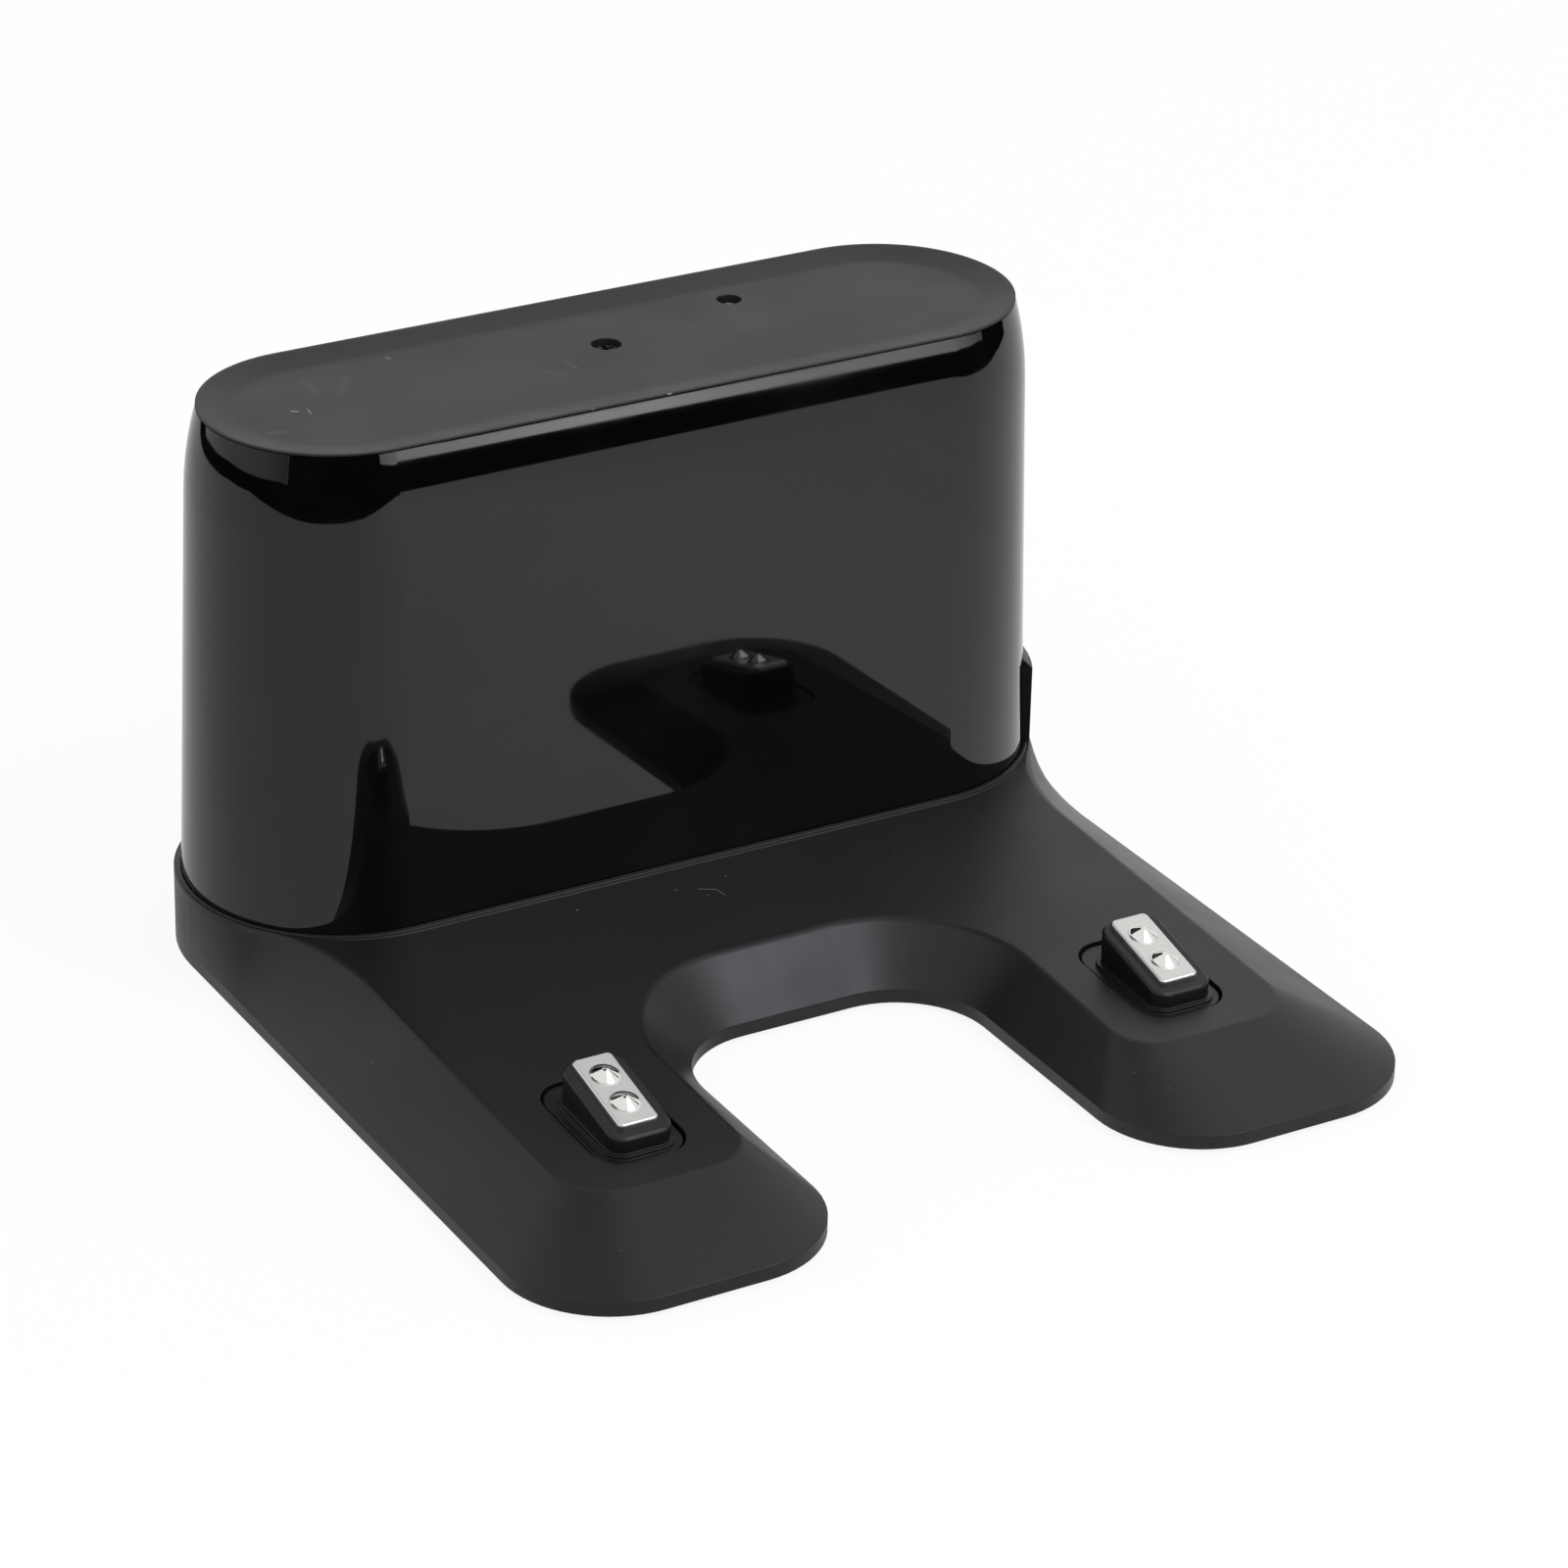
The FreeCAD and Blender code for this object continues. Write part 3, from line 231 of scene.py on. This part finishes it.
def softEdges(tree, shader, place, height, look):  # grain in the height, and edges rounded by look["edge"]
    rounded = addNode(tree, "ShaderNodeBevel", {"samples": 6, "Radius": look["edge"] * mm})
    if "dish" in look:
        tree.links.new(dishRadius(tree, place, look["dish"], look["edge"]), rounded.inputs["Radius"])
    grain = addNode(tree, "ShaderNodeBump", {"Strength": look["bump"], "Distance": look["grainDepth"] * mm,
                                             "Height": height, "Normal": rounded.outputs[0]})
    tree.links.new(grain.outputs[0], shader.inputs["Normal"])


def mouldedMatteAbs(name, look):  # black ABS from a spark-eroded mould: a soft sheen and a fine even grain
    material, tree, shader, place = newFinish(name)
    grain = addNode(tree, "ShaderNodeTexNoise",
                    {"Vector": place, "Scale": perMetre(look["grain"]), "Detail": 2.0})
    cloud = addNode(tree, "ShaderNodeTexNoise",
                    {"Vector": place, "Scale": perMetre(look["cloud"]), "Detail": 3.0})
    plastic = addNode(tree, "ShaderNodeMix", {"data_type": "RGBA", 0: cloud.outputs[0],
                                              6: toLinear(look["dark"]), 7: toLinear(look["light"])})
    surface = addNode(tree, "ShaderNodeMix", {"data_type": "RGBA", 0: dustMask(tree, place, look),
                                              6: plastic.outputs[2], 7: toLinear(look["dust"])})
    if "marks" in look:
        marked = markMask(tree, place, look["marks"])
        surface = addNode(tree, "ShaderNodeMix", {"data_type": "RGBA", 0: marked, 6: surface.outputs[2],
                                                  7: toLinear(look["markColour"])})
    tree.links.new(surface.outputs[2], shader.inputs["Base Color"])
    rough = addNode(tree, "ShaderNodeMapRange",
                    {0: cloud.outputs[0], 1: look["cloudLow"], 2: look["cloudHigh"],
                     3: look["rough"] - look["roughSpread"], 4: look["rough"] + look["roughSpread"]})
    tree.links.new(rough.outputs[0], shader.inputs["Roughness"])
    shader.inputs["IOR"].default_value = absIor
    shader.inputs["Specular IOR Level"].default_value = look["gloss"]
    shader.inputs["Specular Tint"].default_value = toLinear(absTint)
    softEdges(tree, shader, place, grain.outputs[0], look)
    return material


shellLook = {
    "dark": "#121213", "light": "#161618", "rough": 0.42, "roughSpread": 0.04, "gloss": 0.34,
    "cloudLow": 0.3, "cloudHigh": 0.7,  # share of the cloud that the roughness spans
    "grain": 0.4, "grainDepth": 0.02, "bump": 0.5, "cloud": 14.0, "edge": 0.3,  # sizes in mm
    "dust": "#8c8a86", "dustSpacing": 2.6, "dustRadius": 0.15, "dustShare": 0.2, "markColour": "#b4b1ac",
}
deckMarks = [  # a fibre in two runs, and a few specks
    ((-2.8, 14.8, 12.4), (-0.4, 13.5, 12.3), 0.14, 0.3),
    ((-0.4, 13.5, 12.3), (0.0, 11.4, 12.2), 0.13, 0.25),
    ((-6.1, 16.1, 12.4), (-6.0, 16.1, 12.4), 0.2, 0.4),
    ((-2.4, 12.6, 12.3), (-2.3, 12.6, 12.3), 0.18, 0.3),
    ((2.9, 16.5, 12.4), (3.0, 16.5, 12.4), 0.2, 0.3),
    ((-22.9, 17.1, 12.4), (-22.8, 17.2, 12.4), 0.2, 0.5),
]
capMarks = [  # faint rubs, scratches and lint in the cap's dish, and specks on its rim
    ((-9.0, 48.0, 89.7), (-8.5, 44.8, 89.7), 0.7, 0.035),
    ((-13.7, 46.0, 89.7), (-12.3, 43.5, 89.7), 0.7, 0.035),
    ((-54.6, 49.5, 89.7), (-53.8, 48.9, 89.7), 0.22, 0.65),
    ((-52.1, 49.1, 89.7), (-52.3, 47.3, 89.7), 0.16, 0.4),
    ((-60.8, 43.3, 89.7), (-59.2, 42.9, 89.7), 1.0, 0.05),
    ((-48.0, 59.6, 89.7), (-48.1, 54.5, 89.7), 1.0, 0.025),
    ((-45.3, 52.2, 89.7), (-41.6, 57.2, 89.7), 1.0, 0.025),
    ((-48.2, 67.8, 90.2), (-48.1, 67.7, 90.2), 0.3, 0.9),
    ((-32.6, 61.8, 89.7), (-32.3, 61.2, 89.7), 0.2, 0.5),
    ((-15.2, 27.3, 90.7), (-14.9, 27.3, 90.7), 0.3, 0.8),
    ((-2.1, 27.4, 90.7), (-1.8, 27.4, 90.7), 0.3, 0.8),
]
capDish = {"halfLength": 48.1, "axisY": towerAxisY, "foot": 16.0, "reach": 4.0, "soft": 3.2}  # mm
baseLook = dict(shellLook, marks=deckMarks)
capLook = dict(shellLook, rough=0.5, light="#1f1f20", dark="#1a1a1b", dustSpacing=4.4, dustShare=0.12,
               marks=capMarks, dish=capDish)
blockLook = dict(shellLook, rough=0.4, light="#121213", dark="#0e0e0f", edge=0.35, dustShare=0.03)


def polishedBlackAbs(name, look):  # piano black: a mirror over a dark body, a faint bloom and a few specks
    material, tree, shader, place = newFinish(name)
    bloom = addNode(tree, "ShaderNodeTexNoise",
                    {"Vector": place, "Scale": perMetre(look["bloom"]), "Detail": 4.0})
    rough = addNode(tree, "ShaderNodeMapRange",
                    {0: bloom.outputs[0], 1: look["bloomLow"], 2: look["bloomHigh"],
                     3: look["rough"], 4: look["rough"] + look["roughSpread"]})
    tree.links.new(rough.outputs[0], shader.inputs["Roughness"])
    smear = addNode(tree, "ShaderNodeMapRange",
                    {0: bloom.outputs[0], 1: look["smearLow"], 2: look["smearHigh"]})
    handled = addNode(tree, "ShaderNodeMix", {"data_type": "RGBA", 0: smear.outputs[0],
                                              6: toLinear(look["colour"]), 7: toLinear(look["smear"])})
    dusty = addNode(tree, "ShaderNodeMix", {"data_type": "RGBA", 0: dustMask(tree, place, look),
                                            6: handled.outputs[2], 7: toLinear(look["dust"])})
    tree.links.new(dusty.outputs[2], shader.inputs["Base Color"])
    shader.inputs["IOR"].default_value = absIor
    shader.inputs["Specular Tint"].default_value = toLinear(absTint)
    return material


towerLook = {
    "colour": "#060607", "smear": "#0e0e0f", "rough": 0.03, "roughSpread": 0.03, "bloom": 14.0,  # mm
    "bloomLow": 0.45, "bloomHigh": 0.75, "smearLow": 0.5, "smearHigh": 0.8,  # shares of the bloom
    "dust": "#4a4846", "dustSpacing": 6.0, "dustRadius": 0.14, "dustShare": 0.06,
}


def platedNickel(name, look, middle):  # nickel on pressed sheet: satin, fine grain, bumps polished by wear
    material, tree, shader, place = newFinish(name)
    onPlate = addNode(tree, "ShaderNodeMapping",
                      {"vector_type": "TEXTURE", "Vector": place, "Location": middle,
                       "Rotation": (math.radians(look["tilt"]), 0, 0)})
    drawn = addNode(tree, "ShaderNodeMapping",
                    {"Vector": onPlate.outputs[0], "Scale": (1.0, look["stretch"], 1.0)})
    grain = addNode(tree, "ShaderNodeTexNoise",
                    {"Vector": drawn.outputs[0], "Scale": perMetre(look["grain"]), "Detail": 2.0})
    sides = addNode(tree, "ShaderNodeSeparateXYZ", {0: onPlate.outputs[0]})
    eitherEnd = addNode(tree, "ShaderNodeMath", {"operation": "ABSOLUTE", 0: sides.outputs[1]})
    fromBump = addNode(tree, "ShaderNodeMath",
                       {"operation": "SUBTRACT", 0: eitherEnd.outputs[0], 1: look["bumpPlace"] * mm})
    flat = addNode(tree, "ShaderNodeCombineXYZ", {0: sides.outputs[0], 1: fromBump.outputs[0]})
    distance = addNode(tree, "ShaderNodeVectorMath", {"operation": "LENGTH", 0: flat.outputs[0]})
    worn = addNode(tree, "ShaderNodeMapRange",
                   {0: distance.outputs["Value"], 1: look["wornRadius"] * mm,
                    2: (look["wornRadius"] - look["wornFade"]) * mm})
    sheet = addNode(tree, "ShaderNodeMix", {"data_type": "RGBA", 0: grain.outputs[0],
                                            6: toLinear(look["dark"]), 7: toLinear(look["light"])})
    plated = addNode(tree, "ShaderNodeMix", {"data_type": "RGBA", 0: worn.outputs[0],
                                             6: sheet.outputs[2], 7: toLinear(look["bump"])})
    tree.links.new(plated.outputs[2], shader.inputs["Base Color"])
    satin = addNode(tree, "ShaderNodeMapRange", {0: grain.outputs[0], 3: look["rough"] - look["roughSpread"],
                                                 4: look["rough"] + look["roughSpread"]})
    rough = addNode(tree, "ShaderNodeMapRange",
                    {0: worn.outputs[0], 3: satin.outputs[0], 4: look["bumpRough"]})
    tree.links.new(rough.outputs[0], shader.inputs["Roughness"])
    shader.inputs["Metallic"].default_value = 1.0
    return material


plateLook = {
    "dark": "#cbcac8", "light": "#dbdad8", "bump": "#e0dedb",
    "rough": 0.32, "roughSpread": 0.05, "bumpRough": 0.07, "grain": 0.2, "stretch": 0.12,
    "bumpPlace": 3.15, "wornRadius": 2.3, "wornFade": 0.25, "topHeight": 15.2,  # mm
    "tilt": 12.8,  # degrees
}


def plateMiddle(nodeName):  # middle of a contact plate's top, in metres
    low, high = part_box(nodeName)
    return ((low[0] + high[0]) / 2, (low[1] + high[1]) / 2, plateLook["topHeight"] * mm)


smallLook = {"dull": 0.8, "roughSpread": 0.06, "roughLeast": 0.02, "mottle": 0.6}


def plainFinish(name, colour, rough, metallic=0.0, clear=0.0):  # small pieces: colour with a fine mottle
    material, tree, shader, place = newFinish(name)
    mottle = addNode(tree, "ShaderNodeTexNoise",
                     {"Vector": place, "Scale": perMetre(smallLook["mottle"]), "Detail": 3.0})
    full = toLinear(colour)
    dull = [smallLook["dull"] * c for c in full[:3]] + [1.0]
    body = addNode(tree, "ShaderNodeMix", {"data_type": "RGBA", 0: mottle.outputs[0], 6: dull, 7: full})
    tree.links.new(body.outputs[2], shader.inputs["Base Color"])
    least = max(rough - smallLook["roughSpread"], smallLook["roughLeast"])
    spread = addNode(tree, "ShaderNodeMapRange",
                     {0: mottle.outputs[0], 3: least, 4: rough + smallLook["roughSpread"]})
    tree.links.new(spread.outputs[0], shader.inputs["Roughness"])
    shader.inputs["Metallic"].default_value = metallic
    shader.inputs["Transmission Weight"].default_value = clear
    return material


matteAbs = mouldedMatteAbs("sparkErodedBlackAbs", baseLook)
capAbs = mouldedMatteAbs("scuffedBlackAbs", capLook)
blockAbs = mouldedMatteAbs("satinBlackAbs", blockLook)
glossAbs = polishedBlackAbs("polishedBlackAbs", towerLook)
finishes = {
    "base_shell": matteAbs, "base_cover": matteAbs, "cord_bay": matteAbs, "top_cap": capAbs,
    "left_contact_block": blockAbs, "right_contact_block": blockAbs, "tower_sleeve": glossAbs,
    "left_contact_plate": platedNickel("pressedNickelLeft", plateLook, plateMiddle("left_contact_plate")),
    "right_contact_plate": platedNickel("pressedNickelRight", plateLook, plateMiddle("right_contact_plate")),
    "cap_screw": plainFinish("blackOxideSteel", "#1a1a1a", 0.38, 0.6),
    "base_screws": plainFinish("blackOxideScrews", "#222222", 0.42, 0.6),
    "frame_screws": plainFinish("zincPlatedSteel", "#b9bbbd", 0.3, 1.0),
    "rubber_feet": plainFinish("mouldedRubber", "#262626", 0.8),
    "inner_frame": plainFinish("mouldedGreyAbs", "#3a3a3c", 0.55),
    "beam_baffle": plainFinish("mouldedBaffleAbs", "#1d1d1f", 0.6),
    "mains_inlet": plainFinish("mouldedNylon", "#1b1b1c", 0.45),
    "inlet_pins": plainFinish("platedBrassPins", "#cfc8b4", 0.22, 1.0),
    "mains_leads": plainFinish("brownWireSleeving", "#5a3a26", 0.5),
    "left_contact_lead": plainFinish("blackWireSleeving", "#1c1c1c", 0.5),
    "right_contact_lead": plainFinish("redWireSleeving", "#a02018", 0.5),
    "power_board": plainFinish("greenPowerLaminate", "#1f5a36", 0.4),
    "control_board": plainFinish("greenControlLaminate", "#1f5a36", 0.4),
    "transformer_core": plainFinish("sinteredFerrite", "#3a3a3e", 0.6),
    "filter_choke": plainFinish("ferriteChoke", "#46423c", 0.5),
    "transformer_winding": plainFinish("woundYellowTape", "#d8ab28", 0.35),
    "bulk_capacitor": plainFinish("sleevedCapacitor", "#25253a", 0.3),
    "output_capacitors": plainFinish("sleevedCapacitors", "#25253a", 0.3),
    "status_led": plainFinish("whiteLampResin", "#d8d8d2", 0.3),
    "ir_emitters": plainFinish("smokedLampResin", "#2a2433", 0.15),
    "light_pipe": plainFinish("polishedAcrylic", "#aeb4b0", 0.25, clear=0.6),
    "left_contact_spring": plainFinish("drawnSpringSteel", "#b0b0b0", 0.25, 1.0),
    "right_contact_spring": plainFinish("drawnSpringWire", "#b0b0b0", 0.25, 1.0),
    "left_spring_terminal": plainFinish("pressedBrass", "#c8a860", 0.3, 1.0),
    "right_spring_terminal": plainFinish("pressedBrassStrip", "#c8a860", 0.3, 1.0),
}
for nodeName, finish in finishes.items():
    nodes[nodeName].data.materials.clear()
    nodes[nodeName].data.materials.append(finish)
print("finishes given to", len(finishes), "nodes")


# Bead round the tower's foot: the base's edge comes up close to the sleeve and leaves a hairline
beadLook = {
    "bottom": 12.4, "top": 13.05, "outer": (47.5, 26.05), "inner": (48.0, 25.0),  # mm
    "points": 24, "round": 0.14, "roundSteps": 3, "smooth": 40, "tolerance": 0.001,
    "arcs": {"footBead": ((-1, -80, 90), (1, -90, -33)),  # side, first and last angle
             "footBeadBack": ((1, 13, 80),)},
}


def planSpot(point):  # where a point is, seen from above, to the sixth decimal of a metre
    return round(point.x, 6), round(point.y, 6)


def makeBead(name, look, arcs):
    outline = []
    for halfLength, radius in (look["outer"], look["inner"]):
        path = []
        for side, first, last in arcs:
            for i in range(look["points"]):
                turn = math.radians(first + (last - first) * i / (look["points"] - 1))
                x = side * (halfLength + radius * math.cos(turn))
                y = towerAxisY + side * radius * math.sin(turn)
                path.append(Vector((x, y, look["bottom"])) * mm)
        outline += path if not outline else path[::-1]
    bead = drawOutline(name, outline)
    bpy.ops.mesh.edge_face_add()
    rise = (0, 0, (look["top"] - look["bottom"]) * mm)
    bpy.ops.mesh.extrude_region_move(TRANSFORM_OT_translate={"value": rise})
    bpy.ops.mesh.select_mode(type="EDGE")
    bpy.ops.mesh.select_all(action="DESELECT")
    bpy.ops.object.mode_set(mode="OBJECT")
    outerSide = {planSpot(point) for point in outline[:len(outline) // 2]}
    for edge in bead.data.edges:  # the top edge on the outer side
        ends = [bead.data.vertices[index].co for index in edge.vertices]
        onTop = all(abs(end.z - look["top"] * mm) < look["tolerance"] * mm for end in ends)
        edge.select = onTop and all(planSpot(end) in outerSide for end in ends)
    bpy.ops.object.mode_set(mode="EDIT")
    bpy.ops.mesh.bevel(offset=look["round"] * mm, segments=look["roundSteps"], affect="EDGES")
    bpy.ops.mesh.select_mode(type="VERT")
    closeUp(bead, look["smooth"])
    bead.data.materials.append(matteAbs)
    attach(bead, "dock")


for beadName, arcs in beadLook["arcs"].items():
    makeBead(beadName, beadLook, arcs)
print("foot bead made")


# Contact springs: each coil fills its spring's box, and stands for the rigid coil in the CAD
coilLook = {
    "radius": 2.7, "wire": 0.3, "turns": 4.5, "travel": 2.5,  # as in the CAD, mm
    "steps": 20, "roundness": 3, "smooth": 40,
}


def makeCoil(side, look):
    nodeName = side + "_contact_spring"
    low, high = (Vector(corner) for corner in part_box(nodeName))
    middle = (low + high) / 2
    foot = Vector((middle.x, middle.y, low.z + look["wire"] * mm))
    rise = high.z - low.z - 2 * look["wire"] * mm
    count = int(look["turns"] * look["steps"])
    path = []
    for i in range(count + 1):
        turn = 2 * math.pi * i / look["steps"]
        x = math.cos(turn) * look["radius"] * mm
        y = math.sin(turn) * look["radius"] * mm
        path.append(foot + Vector((x, y, rise * i / count)))
    drawOutline(side + "Coil", path, closed=False)
    bpy.ops.object.mode_set(mode="OBJECT")
    bpy.ops.object.convert(target="CURVE")
    wire = bpy.context.object.data
    wire.bevel_depth = look["wire"] * mm
    wire.bevel_resolution = look["roundness"]
    wire.use_fill_caps = True
    bpy.ops.object.convert(target="MESH")
    coil = bpy.context.object
    closeUp(coil, look["smooth"])
    coil.data.materials.clear()
    coil.data.materials.append(finishes[nodeName])
    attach(coil, "dock")
    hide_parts(nodeName)
    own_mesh(coil)


for side in ("left", "right"):
    makeCoil(side, coilLook)
print("contact springs made")


# Stage: floor, studio light and the cards that the gloss wall mirrors
stageLook = {
    "floorSize": 6.0, "floorColour": "#ffffff", "floorGlow": 0.9, "roomColour": "#ffffff", "roomLight": 0.78,
    "levels": [(-150, 0.7), (-40, 0.78), (75, 0.98), (200, 0.88)],  # floor in the gloss, along x
}
lampLook = {"place": (0.4, -0.56, 0.87), "aim": (0, 0, 0.03), "size": (0.6, 0.6), "watts": 3.75}  # metres


def levelAlong(tree, place, levels):  # strength that changes with x; levels are (x in mm, strength)
    first, last = levels[0][0], levels[-1][0]
    highest = max(level for x, level in levels)
    across = addNode(tree, "ShaderNodeSeparateXYZ", {0: place})
    share = addNode(tree, "ShaderNodeMapRange", {0: across.outputs[0], 1: first * mm, 2: last * mm})
    ramp = addNode(tree, "ShaderNodeValToRGB", {0: share.outputs[0]})
    stops = ramp.color_ramp.elements
    for x, level in levels[1:-1]:
        stops.new((x - first) / (last - first))
    for stop, (x, level) in zip(stops, levels):
        stop.color = [level / highest] * 3 + [1.0]
    strength = addNode(tree, "ShaderNodeMath", {"operation": "MULTIPLY", 0: ramp.outputs[0], 1: highest})
    return strength.outputs[0]


def floorMaterial(look):
    material, tree, output, place = newMaterial("paleFloor")
    path = addNode(tree, "ShaderNodeLightPath").outputs
    mirrored = addNode(tree, "ShaderNodeMath", {"operation": "MAXIMUM", 0: path["Is Glossy Ray"],
                                                1: path["Is Transmission Ray"]})
    paper = addNode(tree, "ShaderNodeBsdfDiffuse", {"Color": toLinear(look["floorColour"])})
    glow = addNode(tree, "ShaderNodeEmission", {"Strength": 1.0})
    seen = addNode(tree, "ShaderNodeMixShader",
                   {0: look["floorGlow"], 1: paper.outputs[0], 2: glow.outputs[0]})
    inCamera = addNode(tree, "ShaderNodeMixShader",
                       {0: path["Is Camera Ray"], 1: paper.outputs[0], 2: seen.outputs[0]})
    table = addNode(tree, "ShaderNodeEmission", {"Strength": levelAlong(tree, place, look["levels"])})
    both = addNode(tree, "ShaderNodeMixShader",
                   {0: mirrored.outputs[0], 1: inCamera.outputs[0], 2: table.outputs[0]})
    tree.links.new(both.outputs[0], output.inputs["Surface"])
    return material


def makeFloor(look):
    deselect()
    bpy.ops.mesh.primitive_plane_add(size=look["floorSize"])
    floor = bpy.context.object
    floor.name = "floor"
    floor.data.materials.append(floorMaterial(look))


def makeWorld(look):  # white to the camera, in the gloss and through glass, and dimmer as light
    world = bpy.data.worlds.new("whiteRoom")
    bpy.context.scene.world = world
    world.use_nodes = True
    tree = world.node_tree
    tree.nodes.clear()
    path = addNode(tree, "ShaderNodeLightPath").outputs
    seen = addNode(tree, "ShaderNodeMath", {"operation": "MAXIMUM", 0: path["Is Camera Ray"],
                                            1: path["Is Glossy Ray"]})
    through = addNode(tree, "ShaderNodeMath", {"operation": "MAXIMUM", 0: seen.outputs[0],
                                               1: path["Is Transmission Ray"]})
    level = addNode(tree, "ShaderNodeMapRange", {0: through.outputs[0], 3: look["roomLight"], 4: 1.0})
    room = addNode(tree, "ShaderNodeBackground",
                   {"Color": toLinear(look["roomColour"]), "Strength": level.outputs[0]})
    addNode(tree, "ShaderNodeOutputWorld", {"Surface": room.outputs[0]})


def makeLamp(name, look):
    deselect()
    bpy.ops.object.light_add(type="AREA", location=look["place"])
    lamp = bpy.context.object
    lamp.name = name
    lamp.data.shape = "RECTANGLE"
    lamp.data.size, lamp.data.size_y = look["size"]
    lamp.data.energy = look["watts"]
    towards = Vector(look["aim"]) - Vector(look["place"])
    lamp.rotation_euler = towards.to_track_quat("-Z", "Y").to_euler()


# Cards lie, stand or hang round the dock, and show only in the gloss: the camera doesn't see them. The pale
# floor ends at their inner corners. Past it all is dark, but for a bright strip in front and grey at left.
# A card has a plan at one height, or stands on a line with a top or with (x, z) corners, or has free corners.
# It has one level, or levels along x, and with neither it is black. All sizes are in mm.
tableCard = 0.4  # height of the cards that lie on the floor
stripBends = [(100, -813.8), (416, -774), (770, -499), (790, -400)]  # the bright strip, seen from above
stripColour = "#fffff6"
cards = {
    "tableFront": {"plan": [(-614, 61), (-511, -59), (-384, -151), (-297, -201), (-235, -249), (-178, -281),
                            (-85, -347), (64, -481), (243, -616), (300, -640), (438, -680), (2600, -2600),
                            (-490, -2600), (-2206, -837)]},
    "tableRight": {"plan": [(438, -680), (449, -474), (530, -227), (604, -142), (638, 19), (2600, 80),
                            (2600, -2600)]},
    "tableLeft": {"plan": [(-614, 61), (-540, 233), (-409, 336), (-241, 418), (-176, 445), (-250, 560),
                           (-336, 519), (-485, 517), (-924, 438), (-1351, 86), (-2206, -837)]},
    "leftFloor": {"plan": [(-250, 560), (-336, 519), (-485, 517), (-924, 438), (-1351, 86), (-2206, -837),
                           (-2360, -1186), (-2400, 2545), (-737, 2545)],
                  "levels": [(-2400, 0.3), (-1500, 0.6), (-250, 0.78)]},
    "leftWall": {"line": [(-2360, -1186), (-737, 2545)], "top": 500,
                 "levels": [(-2360, 0.3), (-1900, 0.6), (-737, 0.78)]},
    "cameraSide": {"line": [(-943, -439), (-228, -870)], "top": 250},
    "frontWall": {"line": [(-260, -900), (460, -800)], "top": 600},
    "frontWallRight": {"line": [(460, -800), (850, -500)], "top": 600},
    "rightWall": {"line": [(790, -480), (960, 20)], "top": 260},
    "zenithGap": {"plan": [(-70, -520), (130, -520), (130, -60), (-70, -60)], "height": 950},
    "ceilingGap": {"plan": [(-180, 110), (240, 110), (240, 470), (-180, 470)], "height": 900},
    "rightGap": {"corners": [(760, 10, 250), (750, 130, 250), (690, 130, 620), (700, 10, 620)]},
    "keyGlow": {"corners": [(369, -390, 925), (477, -592, 753), (225, -726, 753), (117, -524, 925)],
                "level": 11.0},
    "stripLight": {"line": stripBends[0:2], "colour": stripColour,
                   "face": [(100, 145), (326, 108), (378, 106), (416, 104),
                            (416, 134), (330, 134), (322, 160), (100, 195)],
                   "levels": [(100, 1.6), (290, 2.4), (337, 3.6), (378, 4.9), (400, 4.6), (416, 3.9)]},
    "stripLightRight": {"line": stripBends[1:3], "colour": stripColour,
                        "face": [(416, 104), (475, 102), (555, 104), (670, 85), (770, 74), (770, 98),
                                 (680, 118), (555, 150), (484, 150), (478, 134), (416, 134)],
                        "levels": [(416, 3.9), (449, 3.2), (476, 2.6), (555, 2.0), (680, 1.45), (770, 1.1)]},
    "stripLightEnd": {"line": stripBends[2:4], "colour": stripColour,
                      "face": [(770, 74), (790, 60), (790, 96), (770, 98)],
                      "levels": [(770, 1.1), (790, 0.7)]},
}


def cardCorners(look):
    if "corners" in look:
        return look["corners"]
    if "plan" in look:
        return [(x, y, look.get("height", tableCard)) for x, y in look["plan"]]
    (startX, startY), (endX, endY) = look["line"]
    face = look.get("face")
    if not face:
        face = [(startX, 0), (endX, 0), (endX, look["top"]), (startX, look["top"])]
    slope = (endY - startY) / (endX - startX)
    return [(x, startY + slope * (x - startX), z) for x, z in face]


def makeCard(name, look):
    card = drawOutline(name, [Vector(corner) * mm for corner in cardCorners(look)])
    bpy.ops.mesh.edge_face_add()
    bpy.ops.object.mode_set(mode="OBJECT")
    material, tree, output, place = newMaterial(name + "Card")
    glow = addNode(tree, "ShaderNodeEmission", {"Color": toLinear(look.get("colour", "#ffffff")),
                                                "Strength": look.get("level", 0.0)})
    if "levels" in look:
        tree.links.new(levelAlong(tree, place, look["levels"]), glow.inputs["Strength"])
    tree.links.new(glow.outputs[0], output.inputs["Surface"])
    card.data.materials.append(material)
    card.visible_camera = False
    card.visible_diffuse = False
    card.visible_shadow = False
    card.visible_transmission = False


makeFloor(stageLook)
makeWorld(stageLook)
makeLamp("softBox", lampLook)
for cardName, cardLook in cards.items():
    makeCard(cardName, cardLook)
bpy.context.scene.view_settings.view_transform = "Standard"
print("stage set")
